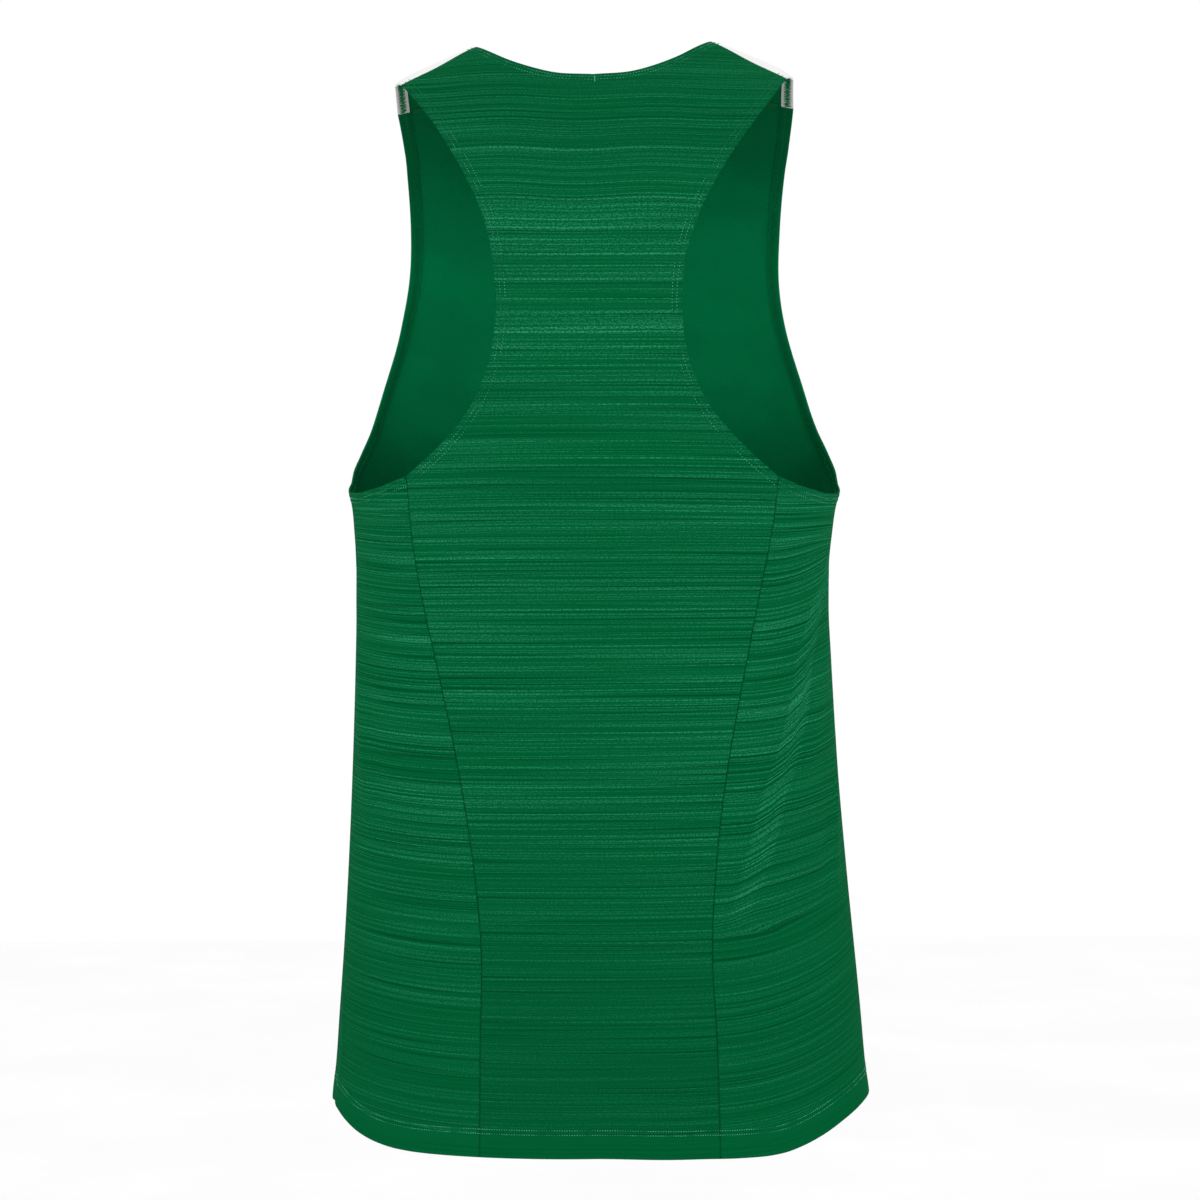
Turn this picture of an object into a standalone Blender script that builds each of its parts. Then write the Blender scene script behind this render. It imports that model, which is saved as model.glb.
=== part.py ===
"""Running singlet, filled out round as it is worn, with nobody in it.

The front faces -Y, the back +Y and up is +Z. The origin lies midway between the two
highest points of the shoulders. Sizes are in millimetres until the points are placed.
"""

from collections import namedtuple

import bmesh
import bpy
import numpy as np

METRE = 0.001  # one millimetre in Blender's metres

# Cloth
WALL = 1.2  # the single layer of knit
HEM_WALL = 2.0  # at a turned edge, where the cloth lies on itself
SEAM_GAP = 0.3  # between two panels, where the seam stands
RIM_ANGLE = np.radians(50)  # sharper turns than this stay crisp

# Grid: how many strips each stretch of a panel has
STRAP_STRIPS = 4  # across a shoulder strap
BACK_NECK_STRIPS = 6  # from the middle of the back neckline to the strap
FRONT_NECK_STRIPS = 8  # from the middle of the front neckline to the strap
ARMHOLE_ROWS = 13
SIDE_ROWS = 18
SIDE_STRIPS = 12
YOKE_BACK_ROWS = 3
YOKE_FRONT_ROWS = 4
ROW_EASE = 2.0  # more than 1 makes a panel's rows level out sooner below its top edge
FINE_STEPS = 60  # points for each row of an edge's table while its length is measured
PROBE_TURN = np.radians(0.2)  # how far round, and up, the cloth is felt for its normal
PROBE_RISE = 0.3

# General figure
SQUARENESS = 2.3  # 2 is an ellipse, and more is squarer
BACK_ROLL = 150.0  # how far below the ridge the back reaches its full depth
BACK_ROLL_POWER = 1.6
FRONT_ROLL = 230.0
FRONT_ROLL_POWER = 1.4
DROP_POWER = 1.6  # spaces a yoke's rows evenly along the cloth
NECK_POINT = 79.6  # out to the highest point of the shoulder
SHOULDER_TIP = 136.0  # out to the strap's armhole edge, on the ridge

# Sections of the filled-out cloth. Sway is how far the middle hangs towards the wearer's left, and
# tilt how much lower the cloth hangs there at its full half width.
Section = namedtuple("Section", "height half_width back front sway tilt")
SECTIONS = (
    Section(40, 186, 112, 122, -1.5, 2.4),
    Section(-8, 186, 112.3, 122.3, -1.5, 2.3),
    Section(-32, 186, 112.4, 122.4, -2.0, 1.1),
    Section(-52, 186, 112.6, 122.6, -2.8, 1.0),
    Section(-66, 186, 112.7, 122.7, -2.9, 1.0),
    Section(-82, 186, 112.8, 122.8, -2.2, 0.9),
    Section(-120, 186, 113, 123, -1.1, 0.8),
    Section(-184, 181, 116, 126, 1.3, 0),
    Section(-240, 174, 117, 128, 1.3, -0.4),
    Section(-280, 169, 116, 128, 0.3, -1.3),
    Section(-303, 166.5, 115, 127, 0.2, -1.6),
    Section(-316, 163.4, 114.5, 126.5, 0.5, -1.4),
    Section(-330, 161.8, 114, 126, 0.9, -1.0),
    Section(-357, 159.8, 113, 124, 1.6, -0.3),
    Section(-384, 159.8, 111, 122, 1.9, 0),
    Section(-416, 160.8, 109.5, 120.5, 1.6, 0),
    Section(-492, 164.2, 108, 117, 1.0, 0),
    Section(-560, 168.6, 108.5, 116, 0.0, 0),
    Section(-652, 175.8, 111, 117, -1.2, 0),
    Section(-690, 178.6, 112, 118, -1.5, 0),
    Section(-712, 181.2, 113, 119, -1.6, 0),
    Section(-745, 182.0, 114, 120, -1.7, 0),
)

# Height of the shoulder ridge at a distance out from the middle
Ridge = namedtuple("Ridge", "out height")
RIDGE = (
    Ridge(0, 6),
    Ridge(45, 5),
    Ridge(79.6, 0),
    Ridge(110, -11.8),
    Ridge(126, -19),
    Ridge(134, -24.4),
    Ridge(140, -29.4),
    Ridge(160, -43),
    Ridge(190, -58),
)

# Edges of the pieces, as distance out from the middle and height
Edge = namedtuple("Edge", "out height")
BACK_NECK = (
    Edge(0, -34),
    Edge(26, -31.5),
    Edge(42, -26),
    Edge(56, -19),
    Edge(70, -9),
    Edge(79.6, -1.5),
)
BACK_SHOULDER = (Edge(79.6, -1.5), Edge(105, -17.8), Edge(129.8, -29.2))
BACK_ARMHOLE = (
    Edge(129.8, -29.2),
    Edge(103.6, -68),
    Edge(81.3, -106),
    Edge(72.1, -125),
    Edge(64.5, -147),
    Edge(60, -172),
    Edge(59.2, -198),
    Edge(63.5, -226),
    Edge(73.7, -251),
    Edge(95.3, -277.5),
    Edge(120, -298.5),
)
BACK_SIDE_SEAM = (
    Edge(120, -298.5),
    Edge(116, -335),
    Edge(108, -378),
    Edge(95.3, -438),
    Edge(86.2, -485),
    Edge(78, -542),
    Edge(73.6, -600),
    Edge(75.3, -658),
    Edge(76.5, -731),
)
FRONT_NECK = (
    Edge(0, -96),
    Edge(22, -93.5),
    Edge(42, -84.5),
    Edge(58, -69),
    Edge(69, -48),
    Edge(75.5, -26),
)
FRONT_SHOULDER = (Edge(75.5, -26), Edge(105, -32.2), Edge(136.4, -41.5))
FRONT_ARMHOLE = (
    Edge(136.4, -41.5),
    Edge(132.3, -80),
    Edge(130.7, -116),
    Edge(131.8, -150),
    Edge(137.6, -184),
    Edge(149.7, -228),
    Edge(157.8, -258),
    Edge(163.6, -276),
    Edge(166.6, -289),
)

# The armhole's floor on the side panel, as angles round from the middle of the back
Round = namedtuple("Round", "angle height")
UNDERARM = (
    Round(46.2, -298.5),
    Round(58, -305),
    Round(70, -307.4),
    Round(80, -306.2),
    Round(87, -303),
    Round(93, -298),
)
FRONT_SEAM_TOP = Round(93, -298)
FRONT_SEAM_FOOT = 91  # the angle at the hem

# The hem, which is cut higher at the sides and hangs a little unevenly. The front is the same.
HEM_MIDDLE = -730.5
Hem = namedtuple("Hem", "angle left right")
HEM_LIFTS = (
    Hem(0, 0, 0),
    Hem(20, 0, -1.2),
    Hem(29, 0, -2.2),
    Hem(35, 0, -2.4),
    Hem(40, 0.1, -1.6),
    Hem(46, 0.7, 1.5),
    Hem(53, 2.7, 6.5),
    Hem(61, 6.6, 12.6),
    Hem(68, 11.2, 16.7),
    Hem(76, 15.8, 19.8),
    Hem(82, 17.0, 20.5),
    Hem(90, 16.8, 20.6),
)

# Largest folds: a soft ridge with a trough beside it, from a top end to a foot. Side is 1 on
# the wearer's left and -1 on the right, and a fold that runs out at the hem doesn't fade there.
Fold = namedtuple("Fold", "side top_angle top foot_angle foot rise width to_hem")
FOLDS = (
    Fold(-1, 80, -392, 36, -575, 2.6, 13, False),
    Fold(-1, 78, -470, 66, -600, 1.8, 9, False),
    Fold(-1, 112, -330, 128, -520, 2.2, 14, False),
    Fold(-1, 24, -600, 14, -730, 1.4, 22, True),
    Fold(-1, 158, -560, 166, -730, 1.8, 18, True),
    Fold(1, 78, -400, 58, -560, 1.8, 12, False),
    Fold(1, 84, -600, 88, -730, 2.0, 9, True),
    Fold(1, 118, -345, 140, -560, 2.4, 15, False),
    Fold(1, 160, -520, 150, -730, 2.0, 20, True),
)
TROUGH_SHARE = 0.7  # a trough's depth beside its ridge's rise
TROUGH_AWAY = 1.7  # widths from the ridge's line to the trough's

GREEN = (0.003, 0.122, 0.034, 1.0)
WHITE = (0.83, 0.83, 0.83, 1.0)


def clear_scene():
    """Remove what the file opened with."""
    for thing in list(bpy.data.objects):
        bpy.data.objects.remove(thing, do_unlink=True)


def knit(name, colour):
    """A matt polyester knit."""
    material = bpy.data.materials.new(name)
    material.use_nodes = True
    shader = material.node_tree.nodes["Principled BSDF"]
    shader.inputs["Base Color"].default_value = colour
    shader.inputs["Roughness"].default_value = 0.8
    shader.inputs["Metallic"].default_value = 0.0
    return material


def smooth_steps(known, values, wanted):
    """Values at the wanted places, on a smooth curve with no overshoot through the known ones."""
    order = np.argsort(known)
    x = np.array(known, float)[order]
    y = np.array(values, float)[order]
    step = np.diff(x)
    slope = np.diff(y) / step
    tangent = np.zeros(len(x))
    same_way = slope[1:] * slope[:-1] > 0
    both = slope[1:] + slope[:-1]
    tangent[1:-1] = np.where(same_way, 2 * slope[1:] * slope[:-1] / np.where(same_way, both, 1), 0)
    tangent[0], tangent[-1] = slope[0], slope[-1]
    at = np.clip(np.asarray(wanted, float), x[0], x[-1])
    i = np.clip(np.searchsorted(x, at) - 1, 0, len(step) - 1)
    t = (at - x[i]) / step[i]
    start = y[i] * (1 + 2 * t) * (1 - t) ** 2 + tangent[i] * step[i] * t * (1 - t) ** 2
    end = y[i + 1] * t**2 * (3 - 2 * t) + tangent[i + 1] * step[i] * t**2 * (t - 1)
    return start + end


def section(column, height):
    """One column of the section table at any height."""
    return smooth_steps([s.height for s in SECTIONS], [getattr(s, column) for s in SECTIONS], height)


def roll(drop, reach, power):
    """Share of the full depth at a drop below the shoulder ridge."""
    left = 1 - np.clip(drop / reach, 0, 1)
    return (1 - left**power) ** (1 / power)


def fold_rise(angle, height):
    """How far the folds lift the cloth. The angle is in radians, and below 0 on the wearer's right."""
    turned = np.degrees((angle + np.pi) % (2 * np.pi) - np.pi)
    reach = section("half_width", height)
    total = np.zeros(np.broadcast(angle, height).shape)
    for fold in FOLDS:
        along = np.clip((fold.top - height) / (fold.top - fold.foot), 0, 1)
        line = fold.side * (fold.top_angle + (fold.foot_angle - fold.top_angle) * along)
        across = np.radians(turned - line) * reach / fold.width
        fade = np.sin(np.pi * along * (0.5 if fold.to_hem else 1)) ** 2
        ridge = np.exp(-(across**2))
        trough = np.exp(-((across + fold.side * TROUGH_AWAY) ** 2))
        total += fold.rise * fade * (ridge - TROUGH_SHARE * trough)
    return total


def cloth_point(angle, height):
    """Points of the outer face, in metres, at angles round from the middle of the back."""
    angle = np.asarray(angle, float)
    height = np.asarray(height, float)
    half_width = section("half_width", height)
    out = half_width * np.sin(angle)
    round_off = (1 - np.abs(np.sin(angle)) ** SQUARENESS) ** (1 / SQUARENESS)
    behind = np.cos(angle) > 0
    depth = np.where(behind, section("back", height), -section("front", height))
    drop = ridge_height(out) - height
    share = np.where(
        behind,
        roll(drop, BACK_ROLL, BACK_ROLL_POWER),
        roll(drop, FRONT_ROLL, FRONT_ROLL_POWER),
    )
    away = depth * round_off * share
    normal = np.stack([out / half_width**2, away / depth**2], axis=-1)
    normal /= np.maximum(np.linalg.norm(normal, axis=-1, keepdims=True), 1e-9)
    lift = fold_rise(angle, height)
    across = out + section("sway", height) + lift * normal[..., 0]
    hung = height - section("tilt", height) * np.sin(angle)
    return METRE * np.stack([across, away + lift * normal[..., 1], hung], axis=-1)


def back_angle(out, height):
    """Angle round from the middle of the back, for a point on the back."""
    return np.arcsin(np.clip(out / section("half_width", height), -1, 1))


def front_angle(out, height):
    """Angle round from the middle of the back, for a point on the front."""
    return np.pi - back_angle(out, height)


def trace(edges, angle_of, count):
    """An edge as (angle, height) pairs, evenly spaced along the cloth, on a curve through the table's rows."""
    rows = np.array([(edge.out, edge.height) for edge in edges], float)
    chord = np.concatenate([[0], np.cumsum(np.linalg.norm(np.diff(rows, axis=0), axis=1))])
    fine = np.linspace(0, chord[-1], FINE_STEPS * len(edges))
    out = rounded(chord, rows[:, 0], fine)
    height = rounded(chord, rows[:, 1], fine)
    angle = angle_of(out, height)
    points = cloth_point(angle, height)
    length = np.concatenate([[0], np.cumsum(np.linalg.norm(np.diff(points, axis=0), axis=1))])
    wanted = np.linspace(0, length[-1], count + 1)
    return np.stack([np.interp(wanted, length, angle), np.interp(wanted, length, height)], axis=1)


def rounded(known, values, wanted):
    """A curve through the known values whose slope at each one follows its two neighbours."""
    tangent = np.gradient(np.asarray(values, float), known)
    i = np.clip(np.searchsorted(known, wanted) - 1, 0, len(known) - 2)
    step = known[i + 1] - known[i]
    t = (wanted - known[i]) / step
    start = values[i] * (1 + 2 * t) * (1 - t) ** 2 + tangent[i] * step * t * (1 - t) ** 2
    end = values[i + 1] * t**2 * (3 - 2 * t) + tangent[i + 1] * step * t**2 * (t - 1)
    return start + end


def hem_height(angle):
    """Height of the hem. The angle is in radians, and below 0 on the wearer's right."""
    from_back = np.degrees(np.abs(angle))
    from_middle = np.minimum(from_back, 180 - from_back)
    places = [hem.angle for hem in HEM_LIFTS]
    left = smooth_steps(places, [hem.left for hem in HEM_LIFTS], from_middle)
    right = smooth_steps(places, [hem.right for hem in HEM_LIFTS], from_middle)
    return HEM_MIDDLE + np.where(np.asarray(angle) > 0, left, right)


def front_side_seam(side):
    """The seam between front and side panel, as (angle, height) pairs from the armhole to the hem."""
    share = np.linspace(0, 1, SIDE_ROWS + 1)
    angle = np.radians(FRONT_SEAM_TOP.angle + (FRONT_SEAM_FOOT - FRONT_SEAM_TOP.angle) * share)
    foot = hem_height(side * angle[-1])
    return np.stack([angle, FRONT_SEAM_TOP.height + (foot - FRONT_SEAM_TOP.height) * share], axis=1)


def back_side_seam(side):
    """The seam between back and side panel, as (angle, height) pairs from the armhole to the hem."""
    seam = trace(BACK_SIDE_SEAM, back_angle, SIDE_ROWS)
    seam[-1, 1] = hem_height(side * seam[-1, 0])
    return seam


def front_armhole():
    """The front armhole, ending where the front and side panels meet under the arm."""
    foot = Edge(
        section("half_width", FRONT_SEAM_TOP.height) * np.sin(np.radians(FRONT_SEAM_TOP.angle)),
        FRONT_SEAM_TOP.height,
    )
    return trace(FRONT_ARMHOLE + (foot,), front_angle, ARMHOLE_ROWS)


def fill(top, bottom, left, right):
    """A net of (angle, height) pairs between four edges, which meet at their ends."""
    u = np.linspace(0, 1, len(top))[None, :, None]
    level = np.mean([(e[0, 1] - e[:, 1]) / (e[0, 1] - e[-1, 1]) for e in (left, right)], axis=0)
    v = (1 - (1 - level) ** ROW_EASE)[:, None, None]
    across = (1 - u) * left[:, None] + u * right[:, None]
    along = (1 - v) * top[None] + v * bottom[None]
    corners = (1 - v) * ((1 - u) * top[0] + u * top[-1]) + v * ((1 - u) * bottom[0] + u * bottom[-1])
    return across + along - corners


def mirrored(pairs):
    """The same edge on the wearer's other side."""
    return np.stack([-pairs[:, 0], pairs[:, 1]], axis=1)


def both_sides(half):
    """An edge from the wearer's right to the left, from the half that starts in the middle."""
    return np.concatenate([mirrored(half)[:0:-1], half])


def hem_between(first, last, count, side=1):
    """The hem from one angle to another, or with a side of -1 the hem of the mirrored angles."""
    angle = np.linspace(first, last, count + 1)
    return np.stack([angle, hem_height(side * angle)], axis=1)


def drawn_back(points, seams):
    """The points with each sewn edge moved in by half the seam's gap, towards the points inside it."""
    moved = points.copy()
    for edge, inside in seams:
        way = points[inside] - points[edge]
        way /= np.linalg.norm(way, axis=-1, keepdims=True)
        moved[edge] += METRE * SEAM_GAP / 2 * way
    return moved


def outward(angle, height):
    """The direction out of the cloth, which two pieces sewn together share along their seam."""
    rise = cloth_point(angle, height + PROBE_RISE) - cloth_point(angle, height - PROBE_RISE)
    turn = cloth_point(angle + PROBE_TURN, height) - cloth_point(angle - PROBE_TURN, height)
    normal = np.cross(rise, turn)
    return normal / np.linalg.norm(normal, axis=-1, keepdims=True)


def panel(name, net, seams, free, material):
    """One cut piece: a grid laid through a net, thickened inwards, and more at its free edges.

    Free marks the points of the turned edges that aren't sewn to another piece.
    """
    rows, columns = net.shape[:2]
    normal = outward(net[..., 0], net[..., 1])
    outer = drawn_back(cloth_point(net[..., 0], net[..., 1]), seams)
    inner = outer - METRE * np.where(free, HEM_WALL, WALL)[..., None] * normal
    wall = bmesh.new()
    bmesh.ops.create_grid(wall, x_segments=columns - 1, y_segments=rows - 1, size=0.5)
    column_of = wall.verts.layers.int.new("column")
    row_of = wall.verts.layers.int.new("row")
    for vertex in wall.verts:
        vertex[column_of] = round((vertex.co.x + 0.5) * (columns - 1))
        vertex[row_of] = round((0.5 - vertex.co.y) * (rows - 1))
        vertex.co = outer[vertex[row_of], vertex[column_of]]
    grown = bmesh.ops.extrude_face_region(wall, geom=wall.faces[:], use_keep_orig=True)
    for vertex in [part for part in grown["geom"] if isinstance(part, bmesh.types.BMVert)]:
        vertex.co = inner[vertex[row_of], vertex[column_of]]
    bmesh.ops.recalc_face_normals(wall, faces=wall.faces)
    mesh = bpy.data.meshes.new(name)
    wall.to_mesh(mesh)
    wall.free()
    mesh.shade_smooth()
    mesh.set_sharp_from_angle(angle=RIM_ANGLE)
    mesh.materials.append(material)
    piece = bpy.data.objects.new(name, mesh)
    bpy.context.scene.collection.objects.link(piece)
    return piece


def body_panel(name, top_half, sides, neck_strips, angle_at, material):
    """A front or back panel, from half its top edge and its two sides, each an armhole and a seam."""
    half = len(top_half) - 1
    left, right = sides
    bottom = hem_between(-right[-1, 0], left[-1, 0], 2 * half)
    net = fill(both_sides(top_half), bottom, mirrored(right), left)
    net[..., 0] = angle_at(net[..., 0])
    right_strap = slice(0, half - neck_strips + 1)
    left_strap = slice(half + neck_strips, None)
    side = slice(ARMHOLE_ROWS, None)
    seams = (
        ((0, right_strap), (1, right_strap)),
        ((0, left_strap), (1, left_strap)),
        ((side, 0), (side, 1)),
        ((side, -1), (side, -2)),
    )
    free = np.zeros(net.shape[:2], bool)
    free[0, half - neck_strips : half + neck_strips + 1] = True
    free[: ARMHOLE_ROWS + 1, [0, -1]] = True
    free[-1] = True
    return panel(name, net, seams, free, material)


def back_panel(material):
    """The back, with its racer-cut armholes."""
    neck = trace(BACK_NECK, back_angle, BACK_NECK_STRIPS)
    strap = trace(BACK_SHOULDER, back_angle, STRAP_STRIPS)
    armhole = trace(BACK_ARMHOLE, back_angle, ARMHOLE_ROWS)
    top = np.concatenate([neck, strap[1:]])
    sides = [np.concatenate([armhole, back_side_seam(side)[1:]]) for side in (1, -1)]
    return body_panel("back_panel", top, sides, BACK_NECK_STRIPS, lambda angle: angle, material)


def front_panel(material):
    """The front, with its lower neckline and wider straps. Its net is laid from the middle of the front."""
    neck = trace(FRONT_NECK, front_angle, FRONT_NECK_STRIPS)
    strap = trace(FRONT_SHOULDER, front_angle, STRAP_STRIPS)
    top = np.concatenate([neck, strap[1:]])
    sides = [np.concatenate([front_armhole(), front_side_seam(side)[1:]]) for side in (1, -1)]
    for edge in (top, *sides):
        edge[:, 0] = np.pi - edge[:, 0]
    return body_panel("front_panel", top, sides, FRONT_NECK_STRIPS, lambda angle: np.pi - angle, material)


def side_panel(name, side, material):
    """One side, from its seam on the back to its seam just in front of the side."""
    behind = back_side_seam(side)
    before = front_side_seam(side)
    angle = np.linspace(behind[0, 0], before[0, 0], SIDE_STRIPS + 1)
    height = smooth_steps([np.radians(r.angle) for r in UNDERARM], [r.height for r in UNDERARM], angle)
    top = np.stack([angle, height], axis=1)
    top[0] = behind[0]
    top[-1] = before[0]
    bottom = hem_between(behind[-1, 0], before[-1, 0], SIDE_STRIPS, side)
    net = fill(top, bottom, behind, before)
    net[..., 0] *= side
    every = slice(None)
    seams = (((every, 0), (every, 1)), ((every, -1), (every, -2)))
    free = np.zeros(net.shape[:2], bool)
    free[[0, -1]] = True
    return panel(name, net, seams, free, material)


def yoke(name, side, material):
    """One shoulder piece, over the ridge from the back shoulder seam to the front one."""
    behind = trace(BACK_SHOULDER, back_angle, STRAP_STRIPS)
    before = trace(FRONT_SHOULDER, front_angle, STRAP_STRIPS)
    rows = []
    for part in np.linspace(1, 0, YOKE_BACK_ROWS + 1):
        rows.append(strap_row(behind, part, back_angle, side))
    for part in np.linspace(0, 1, YOKE_FRONT_ROWS + 1)[1:]:
        rows.append(strap_row(before, part, front_angle, side))
    net = np.array(rows)
    every = slice(None)
    seams = (((0, every), (1, every)), ((-1, every), (-2, every)))
    free = np.zeros(net.shape[:2], bool)
    free[:, [0, -1]] = True
    return panel(name, net, seams, free, material)


def ridge_height(out):
    """Height of the shoulder ridge at a distance out from the middle."""
    return smooth_steps([r.out for r in RIDGE], [r.height for r in RIDGE], np.abs(out))


def strap_row(seam, part, angle_of, side):
    """One row of a yoke as (angle, height) pairs, at a part of the way from the ridge to its seam."""
    share = np.linspace(0, 1, len(seam))
    ridge_out = NECK_POINT + (SHOULDER_TIP - NECK_POINT) * share
    seam_out = section("half_width", seam[:, 1]) * np.sin(seam[:, 0])
    seam_drop = ridge_height(seam_out) - seam[:, 1]
    out = ridge_out + (seam_out - ridge_out) * part
    height = ridge_height(out) - seam_drop * part**DROP_POWER
    return np.stack([side * angle_of(out, height), height], axis=1)


def main():
    """Cut and place every piece."""
    clear_scene()
    back_panel(knit("back_green", GREEN))
    front_panel(knit("front_green", GREEN))
    for name, side in (("left", 1), ("right", -1)):
        side_panel("side_panel_" + name, side, knit("side_green_" + name, GREEN))
        yoke("yoke_" + name, side, knit("yoke_white_" + name, WHITE))


main()
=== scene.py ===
"""Running singlet, filled out as it is worn: its knit, turned edges and stitching.

The front faces -Y, the back +Y and up is +Z. Sizes are in millimetres until points are placed.
"""

import logging
from dataclasses import dataclass
from enum import Enum
from typing import Any, Callable, NamedTuple, Sequence

import bmesh
import bpy
import numpy as np
from mathutils import Matrix, Vector
from mathutils.kdtree import KDTree


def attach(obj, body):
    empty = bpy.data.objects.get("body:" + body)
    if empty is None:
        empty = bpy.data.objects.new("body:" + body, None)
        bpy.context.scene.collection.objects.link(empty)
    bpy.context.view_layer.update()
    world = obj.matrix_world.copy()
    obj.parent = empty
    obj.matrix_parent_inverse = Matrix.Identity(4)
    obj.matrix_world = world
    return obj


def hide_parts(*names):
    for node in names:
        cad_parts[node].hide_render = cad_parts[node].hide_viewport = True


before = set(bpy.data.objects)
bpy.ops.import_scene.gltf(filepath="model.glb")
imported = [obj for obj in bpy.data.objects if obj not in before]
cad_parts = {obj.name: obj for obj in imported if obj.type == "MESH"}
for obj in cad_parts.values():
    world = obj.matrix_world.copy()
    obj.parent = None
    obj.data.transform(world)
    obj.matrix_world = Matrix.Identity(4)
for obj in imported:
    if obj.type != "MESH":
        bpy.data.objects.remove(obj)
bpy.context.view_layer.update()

LOG = logging.getLogger("singlet")
METRE = 0.001  # one millimetre in Blender's metres
BODY = "root"
CLOTH_UV = "cloth"
FROM_EDGE = "from_edge"
FROM_SEAM = "from_seam"
ROW_CLIMB = "row_climb"
GREEN = "green_knit"
WHITE = "white_knit"
EDGE_LINES = (0.0, 0.85, 3.4, 6.4, 9.0)  # distances in; the needles' rows stand before the last
HEM_LINES = (0.0, 0.85, 5.0, 10.0, 15.2, 18.0, 19.6)
EVERY = slice(None)
BORDERS = (  # each border of a grid, and the line inside it
    ((0, EVERY), (1, EVERY)),
    ((-1, EVERY), (-2, EVERY)),
    ((EVERY, 0), (EVERY, 1)),
    ((EVERY, -1), (EVERY, -2)),
)

Array = np.ndarray
BMesh = bmesh.types.BMesh
Material = bpy.types.Material


def table(kind: type, *rows: Sequence[Any]) -> tuple[Any, ...]:
    """Rows of a table, as named tuples."""
    return tuple(kind(*row) for row in rows)


def lowered(kind: type, heights: int, *rows: Sequence[Any]) -> tuple[Any, ...]:
    """Rows of a table whose first fields are heights as read, lowered to fit the photo better."""

    def placed(height: float) -> float:
        return round(height - (1.9 if height > -180 else 1.6 if height > -230 else 1.2), 1)

    return table(kind, *((*map(placed, row[:heights]), *row[heights:]) for row in rows))


def run_length(points: Array) -> Array:
    """Length along a line of points, up to each of them."""
    return np.concatenate([[0], np.cumsum(np.linalg.norm(np.diff(points, axis=0), axis=1))])


def along_line(stops: Any, length: Array, line: Array) -> Array:
    """Places at stops along a line, from the length up to each of its points."""
    return np.stack([np.interp(stops, length, column) for column in line.T], axis=-1)


def hermite(known: Array, values: Array, tangent: Array, wanted: Array) -> Array:
    """A smooth curve through known values, with a given slope at each."""
    i = np.clip(np.searchsorted(known, wanted) - 1, 0, len(known) - 2)
    step = known[i + 1] - known[i]
    t = (wanted - known[i]) / step
    start = values[i] * (1 + 2 * t) * (1 - t) ** 2 + tangent[i] * step * t * (1 - t) ** 2
    end = values[i + 1] * t**2 * (3 - 2 * t) + tangent[i + 1] * step * t**2 * (t - 1)
    return start + end


def linked(name: str, data: Any) -> bpy.types.Object:
    """Make an object in the scene."""
    made = bpy.data.objects.new(name, data)
    bpy.context.scene.collection.objects.link(made)
    return made


class Side(Enum):
    """A side of the wearer."""

    LEFT = 1
    RIGHT = -1

    @property
    def word(self) -> str:
        """The side as part of a piece's name."""
        return self.name.lower()


class Section(NamedTuple):
    """A level of the filled-out cloth, with how far its middle hangs left and its left side low."""

    height: float
    half_width: float
    back: float
    front: float
    sway: float
    tilt: float


class Edge(NamedTuple):
    """A point on a piece's edge, as distance out from the middle and height."""

    out: float
    height: float


class Round(NamedTuple):
    """A point of the cloth, as degrees round from the middle of the back and height."""

    angle: float
    height: float


class Hem(NamedTuple):
    """How far the hem is cut up at an angle from the middle of the back or front."""

    angle: float
    left: float
    right: float


class Fold(NamedTuple):
    """A soft ridge with a trough beside it, from a top end to a foot."""

    side: int
    top_angle: float
    top: float
    foot_angle: float
    foot: float
    rise: float
    width: float
    to_hem: bool


class Crease(NamedTuple):
    """A finer ridge along a line of points from its top end down, with its share of the rows' pull."""

    side: int
    line: tuple[Round, ...]
    rise: float
    width: float
    pull: float = 0.0


class Pull(NamedTuple):
    """How far the knit's rows ride up at the wearer's side, at one height."""

    height: float
    left: float
    right: float


class Streak(NamedTuple):
    """A light or dark line along the knit's rows on the upper back."""

    height: float
    strength: float
    half_width: float


class Zone(NamedTuple):
    """A band of the upper back that is evenly speckled."""

    top: float
    bottom: float
    strength: float


SECTIONS = table(
    Section,
    (40, 186, 112, 122, -1.5, 2.4), (-8, 186, 112.3, 122.3, -1.5, 2.3),
    (-32, 186, 112.4, 122.4, -2.0, 1.1), (-52, 186, 112.6, 122.6, -2.8, 1.0),
    (-66, 186, 112.7, 122.7, -2.9, 1.0), (-82, 186, 112.8, 122.8, -2.2, 0.9),
    (-120, 186, 113, 123, -1.1, 0.8), (-184, 181, 116, 126, 1.3, 0),
    (-240, 174, 117, 128, 1.3, -0.4), (-280, 169, 116, 128, 0.3, -1.3),
    (-303, 166.5, 115, 127, 0.2, -1.6), (-316, 163.4, 114.5, 126.5, 0.5, -1.4),
    (-330, 161.8, 114, 126, 0.9, -1.0), (-357, 159.8, 113, 124, 1.6, -0.3),
    (-384, 159.8, 111, 122, 1.9, 0), (-416, 160.8, 109.5, 120.5, 1.6, 0),
    (-492, 164.2, 108, 117, 1.0, 0), (-560, 168.6, 108.5, 116, 0.0, 0),
    (-652, 175.8, 111, 117, -1.2, 0), (-690, 178.6, 112, 118, -1.5, 0),
    (-712, 181.2, 113, 119, -1.6, 0), (-745, 182.0, 114, 120, -1.7, 0),
)
RIDGE = table(
    Edge,
    (0, 6), (45, 5), (79.6, 0), (110, -11.8), (126, -19), (134, -24.4), (140, -29.4), (160, -43),
    (190, -58),
)
BACK_NECK = table(
    Edge,
    (0, -34), (26, -31.5), (42, -26), (56, -19), (70, -9), (79.6, -1.5),
)
BACK_SHOULDER = (Edge(79.6, -1.5), Edge(105, -17.8), Edge(129.8, -29.2))
BACK_ARMHOLE = table(
    Edge,
    (129.8, -29.2), (103.6, -68), (81.3, -106), (72.1, -125), (64.5, -147), (60, -172),
    (59.2, -198), (63.5, -226), (73.7, -251), (95.3, -277.5), (120, -298.5),
)
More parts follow.
